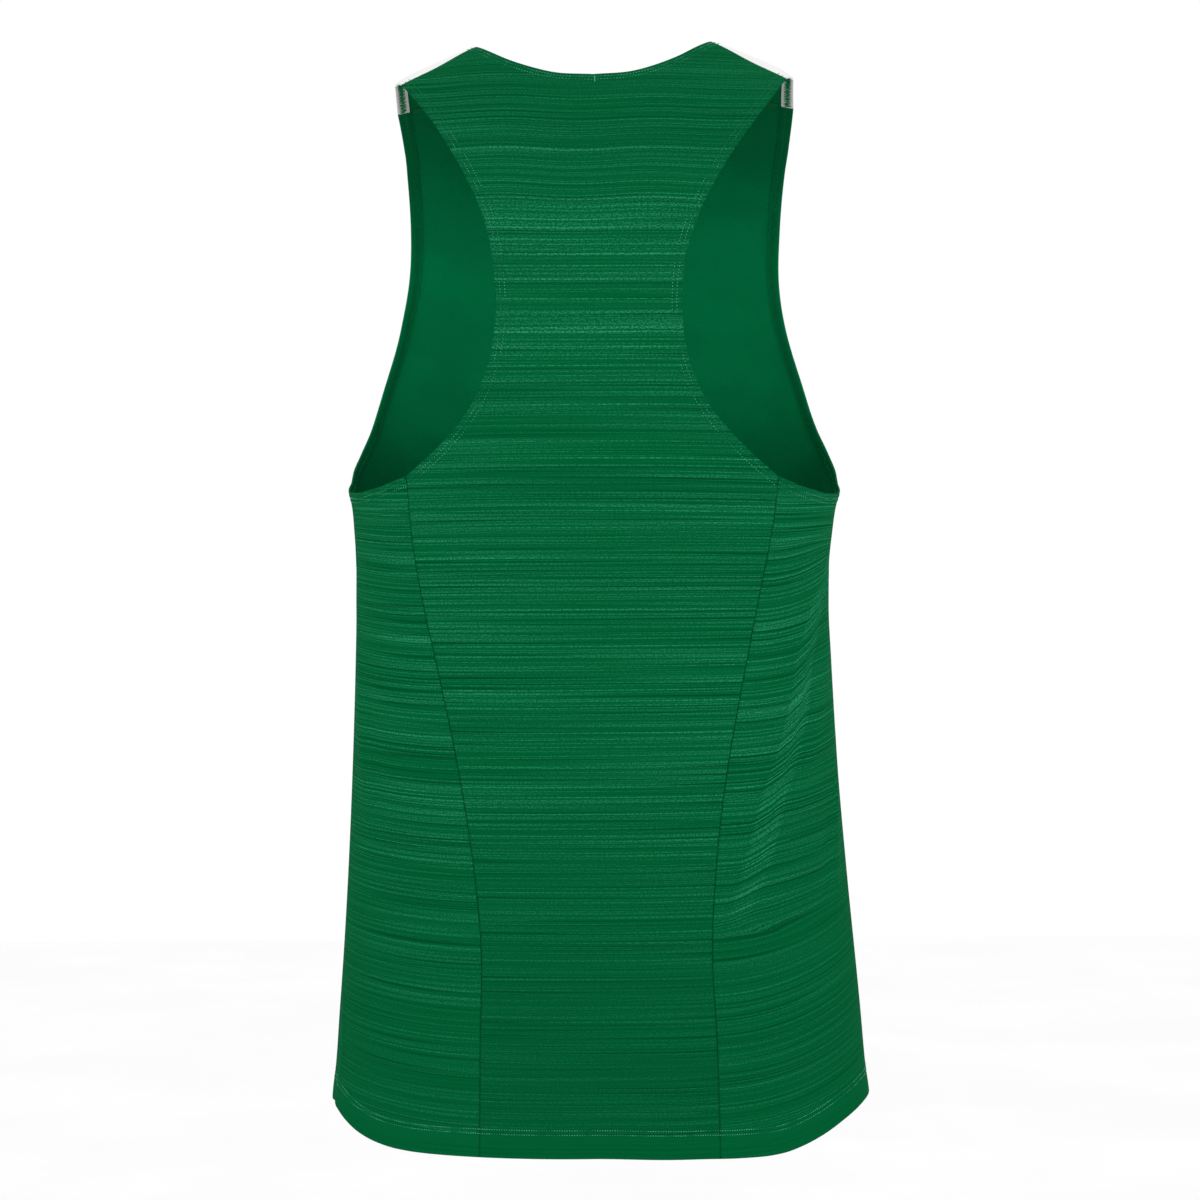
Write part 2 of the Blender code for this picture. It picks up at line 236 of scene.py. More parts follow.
BACK_SIDE_SEAM = table(
    Edge,
    (120, -298.5), (116, -335), (108, -378), (95.3, -438), (86.2, -485), (78, -542), (73.6, -600),
    (75.3, -658), (76.5, -731),
)
FRONT_NECK = table(
    Edge,
    (0, -96), (22, -93.5), (42, -84.5), (58, -69), (69, -48), (75.5, -26),
)
FRONT_SHOULDER = (Edge(75.5, -26), Edge(105, -32.2), Edge(136.4, -41.5))
FRONT_ARMHOLE = table(
    Edge,
    (136.4, -41.5), (132.3, -80), (130.7, -116), (131.8, -150), (137.6, -184), (149.7, -228),
    (157.8, -258), (163.6, -276), (166.6, -289),
)
UNDERARM = table(
    Round,
    (46.2, -298.5), (58, -305), (70, -307.4), (80, -306.2), (87, -303), (93, -298),
)
FRONT_SEAM_TOP = Round(93, -298)
FRONT_SEAM_FOOT = 91.0
HEM_MIDDLE = -730.5
HEM_LIFTS = table(
    Hem,
    (0, 0, 0), (20, 0, -1.2), (29, 0, -2.2), (35, 0, -2.4), (40, 0.1, -1.6), (46, 0.7, 1.5),
    (53, 2.7, 6.5), (61, 6.6, 12.6), (68, 11.2, 16.7), (76, 15.8, 19.8), (82, 17.0, 20.5),
    (90, 16.8, 20.6),
)
FOLDS = table(
    Fold,
    (-1, 80, -392, 36, -575, 2.6, 13, False), (-1, 78, -470, 66, -600, 1.8, 9, False),
    (-1, 112, -330, 128, -520, 2.2, 14, False), (-1, 24, -600, 14, -730, 1.4, 22, True),
    (-1, 158, -560, 166, -730, 1.8, 18, True), (1, 78, -400, 58, -560, 1.8, 12, False),
    (1, 84, -600, 88, -730, 1.2, 9, True), (1, 118, -345, 140, -560, 2.4, 15, False),
    (1, 160, -520, 150, -730, 2.0, 20, True),
)
CREASES = (
    Crease(
        -1,
        table(
            Round,
            (86, -340), (77.7, -362), (69, -383), (60, -416), (56, -450),
            (51, -477), (44.5, -507), (38, -549), (30, -590),
        ),
        1.4,
        4.0,
        0.5,
    ),
    Crease(-1, (Round(84, -350), Round(80, -366), Round(70, -390)), 0.8, 3.5),
    Crease(-1, (Round(86, -465), Round(72, -525), Round(62, -565)), 0.9, 3.4, 0.12),
    Crease(-1, (Round(66, -585), Round(60, -660)), 0.5, 4.0),
    Crease(-1, (Round(104, -350), Round(118, -430), Round(124, -500)), 0.9, 5.0),
    Crease(-1, (Round(140, -560), Round(150, -660)), 0.6, 6.0),
    Crease(1, (Round(82, -335), Round(78, -372)), 0.6, 3.0),
    Crease(1, (Round(43, -490), Round(42, -565)), 0.4, 2.6),
    Crease(1, (Round(78, -630), Round(74, -676), Round(78, -712)), 1.0, 3.4),
    Crease(1, (Round(64, -430), Round(56, -500)), 0.5, 4.0),
    Crease(1, (Round(108, -352), Round(124, -450), Round(134, -540)), 1.0, 5.0),
    Crease(1, (Round(142, -600), Round(152, -700)), 0.6, 6.0),
)
PULLS = table(
    Pull,
    (40, 0, 0), (-290, 1, 2), (-320, 4, 4), (-333, 5, 6), (-345, 5.5, 18), (-352, 6, 22.5),
    (-372, 6.5, 26), (-441, 7, 27), (-500, 7, 26), (-560, 7, 26), (-640, 8.5, 27), (-700, 11, 26),
    (-745, 14, 24),
)

STITCHES = {
    "neck": (2.1, 1.2),
    "hem": (1.6, 0.9),
    "armhole_left": (2.1, 0.9),
    "armhole_right": (2.1, 0.9),
}
LIGHT_STREAKS = table(
    Streak,
    (-69.6, 0.45, 0.5), (-74.8, 0.4, 0.5), (-80.3, 0.45, 0.6), (-90.3, 0.85, 0.9),
    (-95.2, 0.45, 0.6), (-101.7, 0.4, 0.45), (-107.2, 0.4, 0.45), (-113.2, 0.5, 0.5),
) + lowered(
    Streak, 1,
    (-119.4, 0.4, 0.5), (-122.2, 0.7, 0.6), (-127.0, 0.45, 0.5), (-129.6, 0.35, 0.5),
    (-132.7, 0.45, 0.5), (-135.5, 0.9, 0.7), (-140.9, 0.85, 0.9), (-148.5, 0.55, 0.6),
    (-151.7, 0.5, 0.7), (-157.9, 1.0, 0.8), (-165.4, 0.65, 0.5), (-170.3, 0.4, 0.7),
    (-173.8, 0.95, 0.6), (-180.7, 0.25, 0.5), (-186.5, 0.8, 0.45), (-195.0, 0.5, 0.5),
    (-198.7, 0.4, 0.6), (-204.4, 0.75, 0.9), (-207.4, 1.0, 0.75), (-212.3, 0.3, 0.5),
    (-216.7, 0.75, 0.7), (-221.8, 0.35, 0.6), (-228.5, 0.6, 0.5), (-238.4, 0.5, 0.5),
    (-245.6, 0.4, 0.5), (-253.3, 0.45, 0.5), (-259.8, 0.25, 0.5), (-266.0, 0.45, 0.45),
    (-276.5, 0.3, 0.5), (-287.0, 0.4, 0.6),
)
DARK_STREAKS = table(Streak, (-68.2, 0.8, 0.6), (-88.2, 0.7, 0.7)) + lowered(
    Streak, 1,
    (-120.8, 0.7, 0.6), (-124.3, 0.4, 0.5), (-143.3, 0.8, 0.6), (-176.8, 0.5, 1.4),
    (-193.6, 0.8, 0.5), (-206.0, 0.4, 0.5), (-227.4, 0.6, 0.5), (-239.6, 0.5, 0.6),
    (-249.0, 0.5, 1.0), (-270.0, 0.5, 1.2), (-293.0, 0.7, 1.0),
)
SPECKLED_ZONES = lowered(
    Zone, 2,
    (-84, -92, 0.25), (-121, -142, 0.6), (-148, -158, 0.45), (-168, -174, 0.3),
    (-194, -208, 0.6), (-215, -223, 0.3), (-233, -240, 0.2), (-252, -258, 0.2),
)


@dataclass(frozen=True)
class Figure:
    """The general figure that fills the cloth out, and the cloth's outer face on it."""

    squareness: float = 2.3
    back_roll: float = 150.0
    back_roll_power: float = 1.6
    front_roll: float = 230.0
    front_roll_power: float = 1.4
    trough_share: float = 0.7
    trough_away: float = 1.7
    pull_to: float = 88.0
    pull_bend: float = 10.0
    front_fade: float = 75.0
    blade_dip: float = 1.0
    blade_wave: float = 94.0
    blade_middle: float = 11.0
    blade_foot: float = -158.0
    blade_fade: float = 45.0
    row_lift: float = 4.4
    row_slope: float = 0.018
    row_lift_top: float = -40.0
    row_lift_foot: float = -260.0
    probe_turn: float = 0.0035
    probe_rise: float = 0.3
    climb_turn: float = 0.012
    along_share: float = 0.86
    back_depth: float = 112.0
    front_depth: float = 122.0

    @staticmethod
    def smooth_steps(known: Sequence[float], values: Sequence[float], wanted: Any) -> Array:
        """Give values on a smooth curve with no overshoot through the known ones.

        Args:
            known: Places of the known values, in any order.
            values: The known values.
            wanted: Places where values are wanted.

        Returns:
            The values at the wanted places.
        """
        order = np.argsort(known)
        x = np.array(known, float)[order]
        y = np.array(values, float)[order]
        slope = np.diff(y) / np.diff(x)
        tangent = np.zeros(len(x))
        same_way = slope[1:] * slope[:-1] > 0
        both = slope[1:] + slope[:-1]
        tangent[1:-1] = np.where(same_way, 2 * slope[1:] * slope[:-1] / np.where(same_way, both, 1), 0)
        tangent[0], tangent[-1] = slope[0], slope[-1]
        return hermite(x, y, tangent, np.clip(np.asarray(wanted, float), x[0], x[-1]))

    @classmethod
    def column(cls, rows: Sequence[Any], known: str, value: str, wanted: Any) -> Array:
        """One column of a table, at any place of another."""
        places, values = ([getattr(row, name) for row in rows] for name in (known, value))
        return cls.smooth_steps(places, values, wanted)

    def section(self, name: str, height: Any) -> Array:
        """One column of the section table at any height."""
        return self.column(SECTIONS, "height", name, height)

    def ridge_height(self, out: Any) -> Array:
        """Height of the shoulder ridge at a distance out from the middle."""
        return self.column(RIDGE, "out", "height", np.abs(out))

    @staticmethod
    def roll(drop: Any, reach: float, power: float) -> Array:
        """Share of the full depth at a drop below the shoulder ridge."""
        left = 1 - np.clip(np.asarray(drop) / reach, 0, 1)
        return (1 - left**power) ** (1 / power)

    def _ridge(self, across: Array, side: int) -> Array:
        """A ridge with its trough beside it, at a distance across it in widths."""
        trough = np.exp(-((across + side * self.trough_away) ** 2))
        return np.exp(-(across**2)) - self.trough_share * trough

    def fold_rise(self, angle: Array, height: Array) -> Array:
        """How far the folds and creases lift the cloth.

        Args:
            angle: Radians round from the middle of the back, below 0 on the wearer's right.
            height: Heights of the same points.

        Returns:
            The lift in millimetres.
        """
        turned = np.degrees((angle + np.pi) % (2 * np.pi) - np.pi)
        reach = self.section("half_width", height)
        total = np.zeros(np.broadcast(angle, height).shape)
        for fold in FOLDS:
            along = np.clip((fold.top - height) / (fold.top - fold.foot), 0, 1)
            line = fold.side * (fold.top_angle + (fold.foot_angle - fold.top_angle) * along)
            across = np.radians(turned - line) * reach / fold.width
            fade = np.sin(np.pi * along * (0.5 if fold.to_hem else 1)) ** 2
            total += fold.rise * fade * self._ridge(across, fold.side)
        for crease in CREASES:
            line, along = self.crease_line(crease, height)
            across = np.radians(turned - crease.side * line) * reach / crease.width
            total += crease.rise * np.sin(np.pi * along) ** 1.5 * self._ridge(across, crease.side)
        return total

    @staticmethod
    def eased(share: Array) -> Array:
        """Ease a share in and out between 0 and 1."""
        share = np.clip(share, 0, 1)
        return share * share * (3 - 2 * share)

    @staticmethod
    def crease_line(crease: Crease, height: Array) -> tuple[Array, Array]:
        """Degrees round of a crease at each height, and how far along it that is."""
        heights = [point.height for point in crease.line]
        angles = [point.angle for point in crease.line]
        along = np.clip((heights[0] - height) / (heights[0] - heights[-1]), 0, 1)
        return np.interp(-height, [-h for h in heights], angles), along

    def point(self, angle: Any, height: Any) -> Array:
        """Points of the outer face, in metres.

        Args:
            angle: Radians round from the middle of the back, below 0 on the wearer's right.
            height: Heights in millimetres.

        Returns:
            An array whose last axis is x, y and z.
        """
        angle = np.asarray(angle, float)
        height = np.asarray(height, float)
        half_width = self.section("half_width", height)
        out = half_width * np.sin(angle)
        round_off = (1 - np.abs(np.sin(angle)) ** self.squareness) ** (1 / self.squareness)
        behind = np.cos(angle) > 0
        depth = np.where(behind, self.section("back", height), -self.section("front", height))
        drop = self.ridge_height(out) - height
        share = np.where(
            behind,
            self.roll(drop, self.back_roll, self.back_roll_power),
            self.roll(drop, self.front_roll, self.front_roll_power),
        )
        away = depth * round_off * share
        normal = np.stack([out / half_width**2, away / depth**2], axis=-1)
        normal /= np.maximum(np.linalg.norm(normal, axis=-1, keepdims=True), 1e-9)
        lift = self.fold_rise(angle, height)
        across = out + self.section("sway", height) + lift * normal[..., 0]
        hung = height - self.section("tilt", height) * np.sin(angle)
        return METRE * np.stack([across, away + lift * normal[..., 1], hung], axis=-1)

    def slopes(self, angle: Array, height: Array) -> tuple[Array, Array]:
        """How the outer face runs for each radian round and for each millimetre up."""
        turn = self.point(angle + self.probe_turn, height) - self.point(angle - self.probe_turn, height)
        rise = self.point(angle, height + self.probe_rise) - self.point(angle, height - self.probe_rise)
        return turn / (2 * self.probe_turn), rise / (2 * self.probe_rise)

    def normal(self, angle: Array, height: Array) -> Array:
        """The direction out of the cloth."""
        turn, rise = self.slopes(angle, height)
        out = np.cross(rise, turn)
        return out / np.linalg.norm(out, axis=-1, keepdims=True)

    def angle_behind(self, out: Any, height: Any) -> Array:
        """Angle of a point on the back, from its distance out and height."""
        return np.arcsin(np.clip(out / self.section("half_width", height), -1, 1))

    def angle_before(self, out: Any, height: Any) -> Array:
        """Angle of a point on the front, from its distance out and height."""
        return np.pi - self.angle_behind(out, height)

    def cloth_place(self, angle: Array, height: Array) -> Array:
        """Where points lie in the knit, in metres along its rows and across them.

        Args:
            angle: Radians round from the middle of the back.
            height: Heights in millimetres.

        Returns:
            An array whose last axis is the place along the rows and across them.
        """
        turned = np.abs((angle + np.pi) % (2 * np.pi) - np.pi)
        from_back = np.degrees(turned)
        from_middle = np.minimum(from_back, 180 - from_back)
        seam = self.column(BACK_SIDE_SEAM, "height", "out", height)
        pull_from = np.degrees(self.angle_behind(seam, height))
        share = self.eased((from_middle - pull_from) / (self.pull_to - pull_from))
        ahead = self.eased((180 - from_back) / self.front_fade)
        for crease in CREASES:
            line, along = self.crease_line(crease, height)
            bent = self.eased((from_back - line) / self.pull_bend + 0.5)
            here = crease.pull * ahead * np.sin(np.pi * along) ** 0.5 * (np.sin(angle) * crease.side > 0)
            share = share + here * (bent - share)
        left, right = (self.column(PULLS, "height", side, height) for side in ("left", "right"))
        pulled = np.where(np.sin(angle) > 0, left, right) * share
        behind = np.cos(angle) > 0
        high = self.eased((height - self.blade_foot) / self.blade_fade) * behind
        out = self.section("half_width", height) * np.sin(angle)
        blades = self.blade_dip * high * np.cos((out - self.blade_middle) * 2 * np.pi / self.blade_wave)
        lifted = np.clip((height - self.row_lift_foot) / (self.row_lift_top - self.row_lift_foot), 0, 1)
        level = height - lifted * (self.row_lift * (out / 100) ** 2 + self.row_slope * out)
        stretch = np.where(behind, self.roll_length(level, True), self.roll_length(height, False))
        along = angle * self.section("half_width", height) * self.along_share
        return METRE * np.stack([along, stretch - pulled + blades], axis=-1)

    def row_climb(self, angle: Array, height: Array) -> Array:
        """How steeply the knit's rows climb across the cloth, as millimetres up for each one along."""
        ahead = self.cloth_place(angle + self.climb_turn, height)
        behind = self.cloth_place(angle - self.climb_turn, height)
        run = np.abs(ahead - behind)
        return run[..., 1] / run[..., 0]

    def row_place(self, height: float) -> float:
        """Place across the rows, in metres, of a height in the middle of the back."""
        return float(self.roll_length(np.array(height), True)) * METRE

    def roll_length(self, height: Array, behind: bool) -> Array:
        """Height measured along the cloth where it rolls over to the shoulder ridge."""
        reach, power, deep = self.front_roll, self.front_roll_power, self.front_depth
        if behind:
            reach, power, deep = self.back_roll, self.back_roll_power, self.back_depth
        drops = np.linspace(0, 1, 200) ** 2 * reach
        length = run_length(np.stack([drops, deep * self.roll(drops, reach, power)], axis=1))
        drop = np.maximum(-np.asarray(height, float), 0)
        rolled = length[-1] - np.interp(drop, drops, length) - reach
        return np.where(drop < reach, rolled, -drop)


FIGURE = Figure()


class Pattern:
    """The edges of the pieces, as arrays of (angle, height) pairs."""

    fine_steps = 60
    row_ease = 2.0
    hung_from = -700.0

    @staticmethod
    def rounded(known: Array, values: Array, wanted: Array) -> Array:
        """A curve through the known values whose slope at each one follows its neighbours."""
        return hermite(known, values, np.gradient(np.asarray(values, float), known), wanted)

    @classmethod
    def trace(cls, edges: Sequence[Edge], angle_of: Callable[..., Array], count: int) -> Array:
        """Follow an edge's table along the cloth.

        Args:
            edges: The table's rows.
            angle_of: Gives a point's angle from its distance out and height.
            count: How many even steps to take.

        Returns:
            The edge as (angle, height) pairs, one more than the count.
        """
        rows = np.array(edges, float)
        chord = run_length(rows)
        fine = np.linspace(0, chord[-1], cls.fine_steps * len(edges))
        out = cls.rounded(chord, rows[:, 0], fine)
        height = cls.rounded(chord, rows[:, 1], fine)
        angle = angle_of(out, height)
        length = run_length(FIGURE.point(angle, height))
        wanted = np.linspace(0, length[-1], count + 1)
        return along_line(wanted, length, np.stack([angle, height], axis=1))

    @staticmethod
    def hem_height(angle: Any) -> Array:
        """Height of the hem at an angle, below 0 on the wearer's right."""
        from_back = np.degrees(np.abs(angle))
        from_middle = np.minimum(from_back, 180 - from_back)
        left, right = (FIGURE.column(HEM_LIFTS, "angle", side, from_middle) for side in ("left", "right"))
        return HEM_MIDDLE + np.where(np.asarray(angle) > 0, left, right)

    @classmethod
    def hem_between(cls, first: float, last: float, count: int, side: int = 1) -> Array:
        """The hem from one angle to another, or with a side of -1 that of the mirrored angles."""
        angle = np.linspace(first, last, count + 1)
        return np.stack([angle, cls.hem_height(side * angle)], axis=1)

    @classmethod
    def front_side_seam(cls, side: int, count: int) -> Array:
        """The seam between front and side panel, from the armhole to the hem."""
        share = np.linspace(0, 1, count + 1)
        angle = np.radians(FRONT_SEAM_TOP.angle + (FRONT_SEAM_FOOT - FRONT_SEAM_TOP.angle) * share)
        foot = cls.hem_height(side * angle[-1])
        return np.stack([angle, FRONT_SEAM_TOP.height + (foot - FRONT_SEAM_TOP.height) * share], axis=1)

    @classmethod
    def back_side_seam(cls, side: int, count: int) -> Array:
        """The seam between back and side panel, from the armhole to the hem."""
        seam = cls.trace(BACK_SIDE_SEAM, FIGURE.angle_behind, count)
        lift = cls.hem_height(side * seam[-1, 0]) - seam[-1, 1]
        last = np.clip((seam[:, 1] - cls.hung_from) / (seam[-1, 1] - cls.hung_from), 0, 1)
        seam[:, 1] += lift * last
        return seam

    @classmethod
    def front_armhole(cls, count: int) -> Array:
        """The front armhole, ending where the front and side panels meet under the arm."""
        half_width = FIGURE.section("half_width", FRONT_SEAM_TOP.height)
        foot = Edge(float(half_width * np.sin(np.radians(FRONT_SEAM_TOP.angle))), FRONT_SEAM_TOP.height)
        return cls.trace(FRONT_ARMHOLE + (foot,), FIGURE.angle_before, count)

    @classmethod
    def fill(cls, top: Array, bottom: Array, left: Array, right: Array) -> Array:
        """A net of (angle, height) pairs between four edges, which meet at their ends."""
        u = np.linspace(0, 1, len(top))[None, :, None]
        level = np.mean([(e[0, 1] - e[:, 1]) / (e[0, 1] - e[-1, 1]) for e in (left, right)], axis=0)
        v = (1 - (1 - level) ** cls.row_ease)[:, None, None]
        across = (1 - u) * left[:, None] + u * right[:, None]
        along = (1 - v) * top[None] + v * bottom[None]
        corners = (1 - v) * ((1 - u) * top[0] + u * top[-1]) + v * ((1 - u) * bottom[0] + u * bottom[-1])
        return across + along - corners

    @staticmethod
    def mirrored(pairs: Array) -> Array:
        """The same edge on the wearer's other side."""
        return np.stack([-pairs[:, 0], pairs[:, 1]], axis=1)

    @classmethod
    def both_sides(cls, half: Array) -> Array:
        """An edge from the wearer's right to the left, from the half that starts in the middle."""
        return np.concatenate([cls.mirrored(half)[:0:-1], half])


class Value:
    """A socket in a finish, on which Python's operators add Math nodes."""

    def __init__(self, finish: "NodeBench", socket: bpy.types.NodeSocket) -> None:
        """Keep the socket and the bench that it is on."""
        self.finish = finish
        self.socket = socket

    def _math(self, operation: str, first: Any, second: Any) -> "Value":
        """Add one Math node."""
        return self.finish.node("ShaderNodeMath", {"operation": operation}, {0: first, 1: second})

    def __add__(self, other: Any) -> "Value":
        """Sum."""
        return self._math("ADD", self, other)

    __radd__ = __add__

    def __sub__(self, other: Any) -> "Value":
        """Difference."""
        return self._math("SUBTRACT", self, other)

    def __rsub__(self, other: Any) -> "Value":
        """Difference from a number."""
        return self._math("SUBTRACT", other, self)

    def __mul__(self, other: Any) -> "Value":
        """Product."""
        return self._math("MULTIPLY", self, other)

    __rmul__ = __mul__

    def between(self, low: float, high: float, low_value: float = 0.0, high_value: float = 1.0) -> "Value":
        """Ease from one value to another as this one goes from low to high."""
        given = {"Value": self, "From Min": low, "From Max": high, "To Min": low_value, "To Max": high_value}
        return self.finish.node("ShaderNodeMapRange", {"interpolation_type": "SMOOTHSTEP"}, given)

    def near(self, place: float, width: float) -> "Value":
        """One at a place and falling to nothing a width away on both sides."""
        away = self._math("ABSOLUTE", self - place, 0.0)
        return away.between(0.0, width, 1.0, 0.0)


class NodeBench:
    """A material and the nodes laid out for it."""

    ramp_stops = 28
    relief_strength = 0.3

    def __init__(self, name: str) -> None:
        """Start a material with a Principled BSDF."""
        self.material = bpy.data.materials.new(name)
        self.material.use_nodes = True
        self.tree = self.material.node_tree
        self.shader = self.tree.nodes["Principled BSDF"]

    def node(self, kind: str, settings: dict[str, Any], sockets: dict[Any, Any], output: Any = 0) -> Value:
        """Add any node.

        Args:
            kind: The node's type.
            settings: Its properties, which are set first.
            sockets: Values or links of its inputs.
            output: Name or number of the output that is wanted.

        Returns:
            The wanted output.
        """
        node = self.tree.nodes.new(kind)
        for name, value in settings.items():
            setattr(node, name, value)
        for name, value in sockets.items():
            self.feed(node.inputs[name], value)
        return Value(self, node.outputs[output])

    def feed(self, socket: bpy.types.NodeSocket, value: Any) -> None:
        """Link a value to a socket, or set it there."""
        if isinstance(value, Value):
            self.tree.links.new(value.socket, socket)
        else:
            socket.default_value = value

    def attribute(self, name: str) -> Value:
        """A number kept on the mesh."""
        return self.node("ShaderNodeAttribute", {"attribute_name": name}, {}, "Fac")

    def cloth(self) -> tuple[Value, Value]:
        """The place along the knit's rows and across them, in metres."""
        place = self.node("ShaderNodeUVMap", {"uv_map": CLOTH_UV}, {})
        apart = {"Vector": place}
        along = self.node("ShaderNodeSeparateXYZ", {}, apart, "X")
        across = self.node("ShaderNodeSeparateXYZ", {}, apart, "Y")
        return along, across

    def noise(self, x: Any, y: Any, z: Any = 0.0, detail: float = 0.0) -> Value:
        """Soft noise whose grains are one unit long."""
        place = self.node("ShaderNodeCombineXYZ", {}, {"X": x, "Y": y, "Z": z})
        return self.node("ShaderNodeTexNoise", {}, {"Vector": place, "Scale": 1.0, "Detail": detail})

    def mix(self, share: Any, first: Any, second: Any) -> Value:
        """Mix two colours."""
        return self.node("ShaderNodeMix", {"data_type": "RGBA"}, {"Factor": share, 6: first, 7: second}, 2)

    def ramp(self, place: Value, stops: Sequence[tuple[float, float]]) -> Value:
        """Grey levels along a line.

        Args:
            place: Where on the line, in metres.
            stops: Places in metres and the level at each, of which a ramp takes 32 at most.

        Returns:
            The level.
        """
        ordered = sorted(stops)
        low, high = ordered[0][0], ordered[-1][0]
        share = self.node("ShaderNodeMapRange", {}, {"Value": place, "From Min": low, "From Max": high})
        level = self.node("ShaderNodeValToRGB", {}, {"Fac": share})
        bar = level.socket.node.color_ramp
        for number, (where, grey) in enumerate(ordered):
            at = (where - low) / (high - low)
            mark = bar.elements[number] if number < 2 else bar.elements.new(at)
            mark.position = at
            mark.color = (grey, grey, grey, 1.0)
        return level

    def ramps(self, place: Value, marks: Sequence[Sequence[tuple[float, float]]]) -> Value:
        """Levels of marks that have a few stops each, over as many ramps as they need."""
        size = self.ramp_stops // len(marks[0])
        total: Any = 0.0
        for first in range(0, len(marks), size):
            stops = [stop for mark in marks[first : first + size] for stop in mark]
            total = self.ramp(place, stops) + total
        return total

    def dress(
        self, colour: Value, roughness: Value, specular: float, relief: Value, distance: float
    ) -> Material:
        """Feed the shader.

        Args:
            colour: Base colour.
            roughness: Roughness.
            specular: Level of the mirror-like reflection.
            relief: The fine relief.
            distance: Height in metres that a relief of 1 stands for.

        Returns:
            The material.
        """
        bump = {"Height": relief, "Strength": self.relief_strength, "Distance": distance}
        inputs = {
            "Base Color": colour,
            "Roughness": roughness,
            "Specular IOR Level": specular,
            "Normal": self.node("ShaderNodeBump", {}, bump),
        }
        for name, value in inputs.items():
            self.feed(self.shader.inputs[name], value)
        return self.material


Colour = tuple[float, float, float, float]


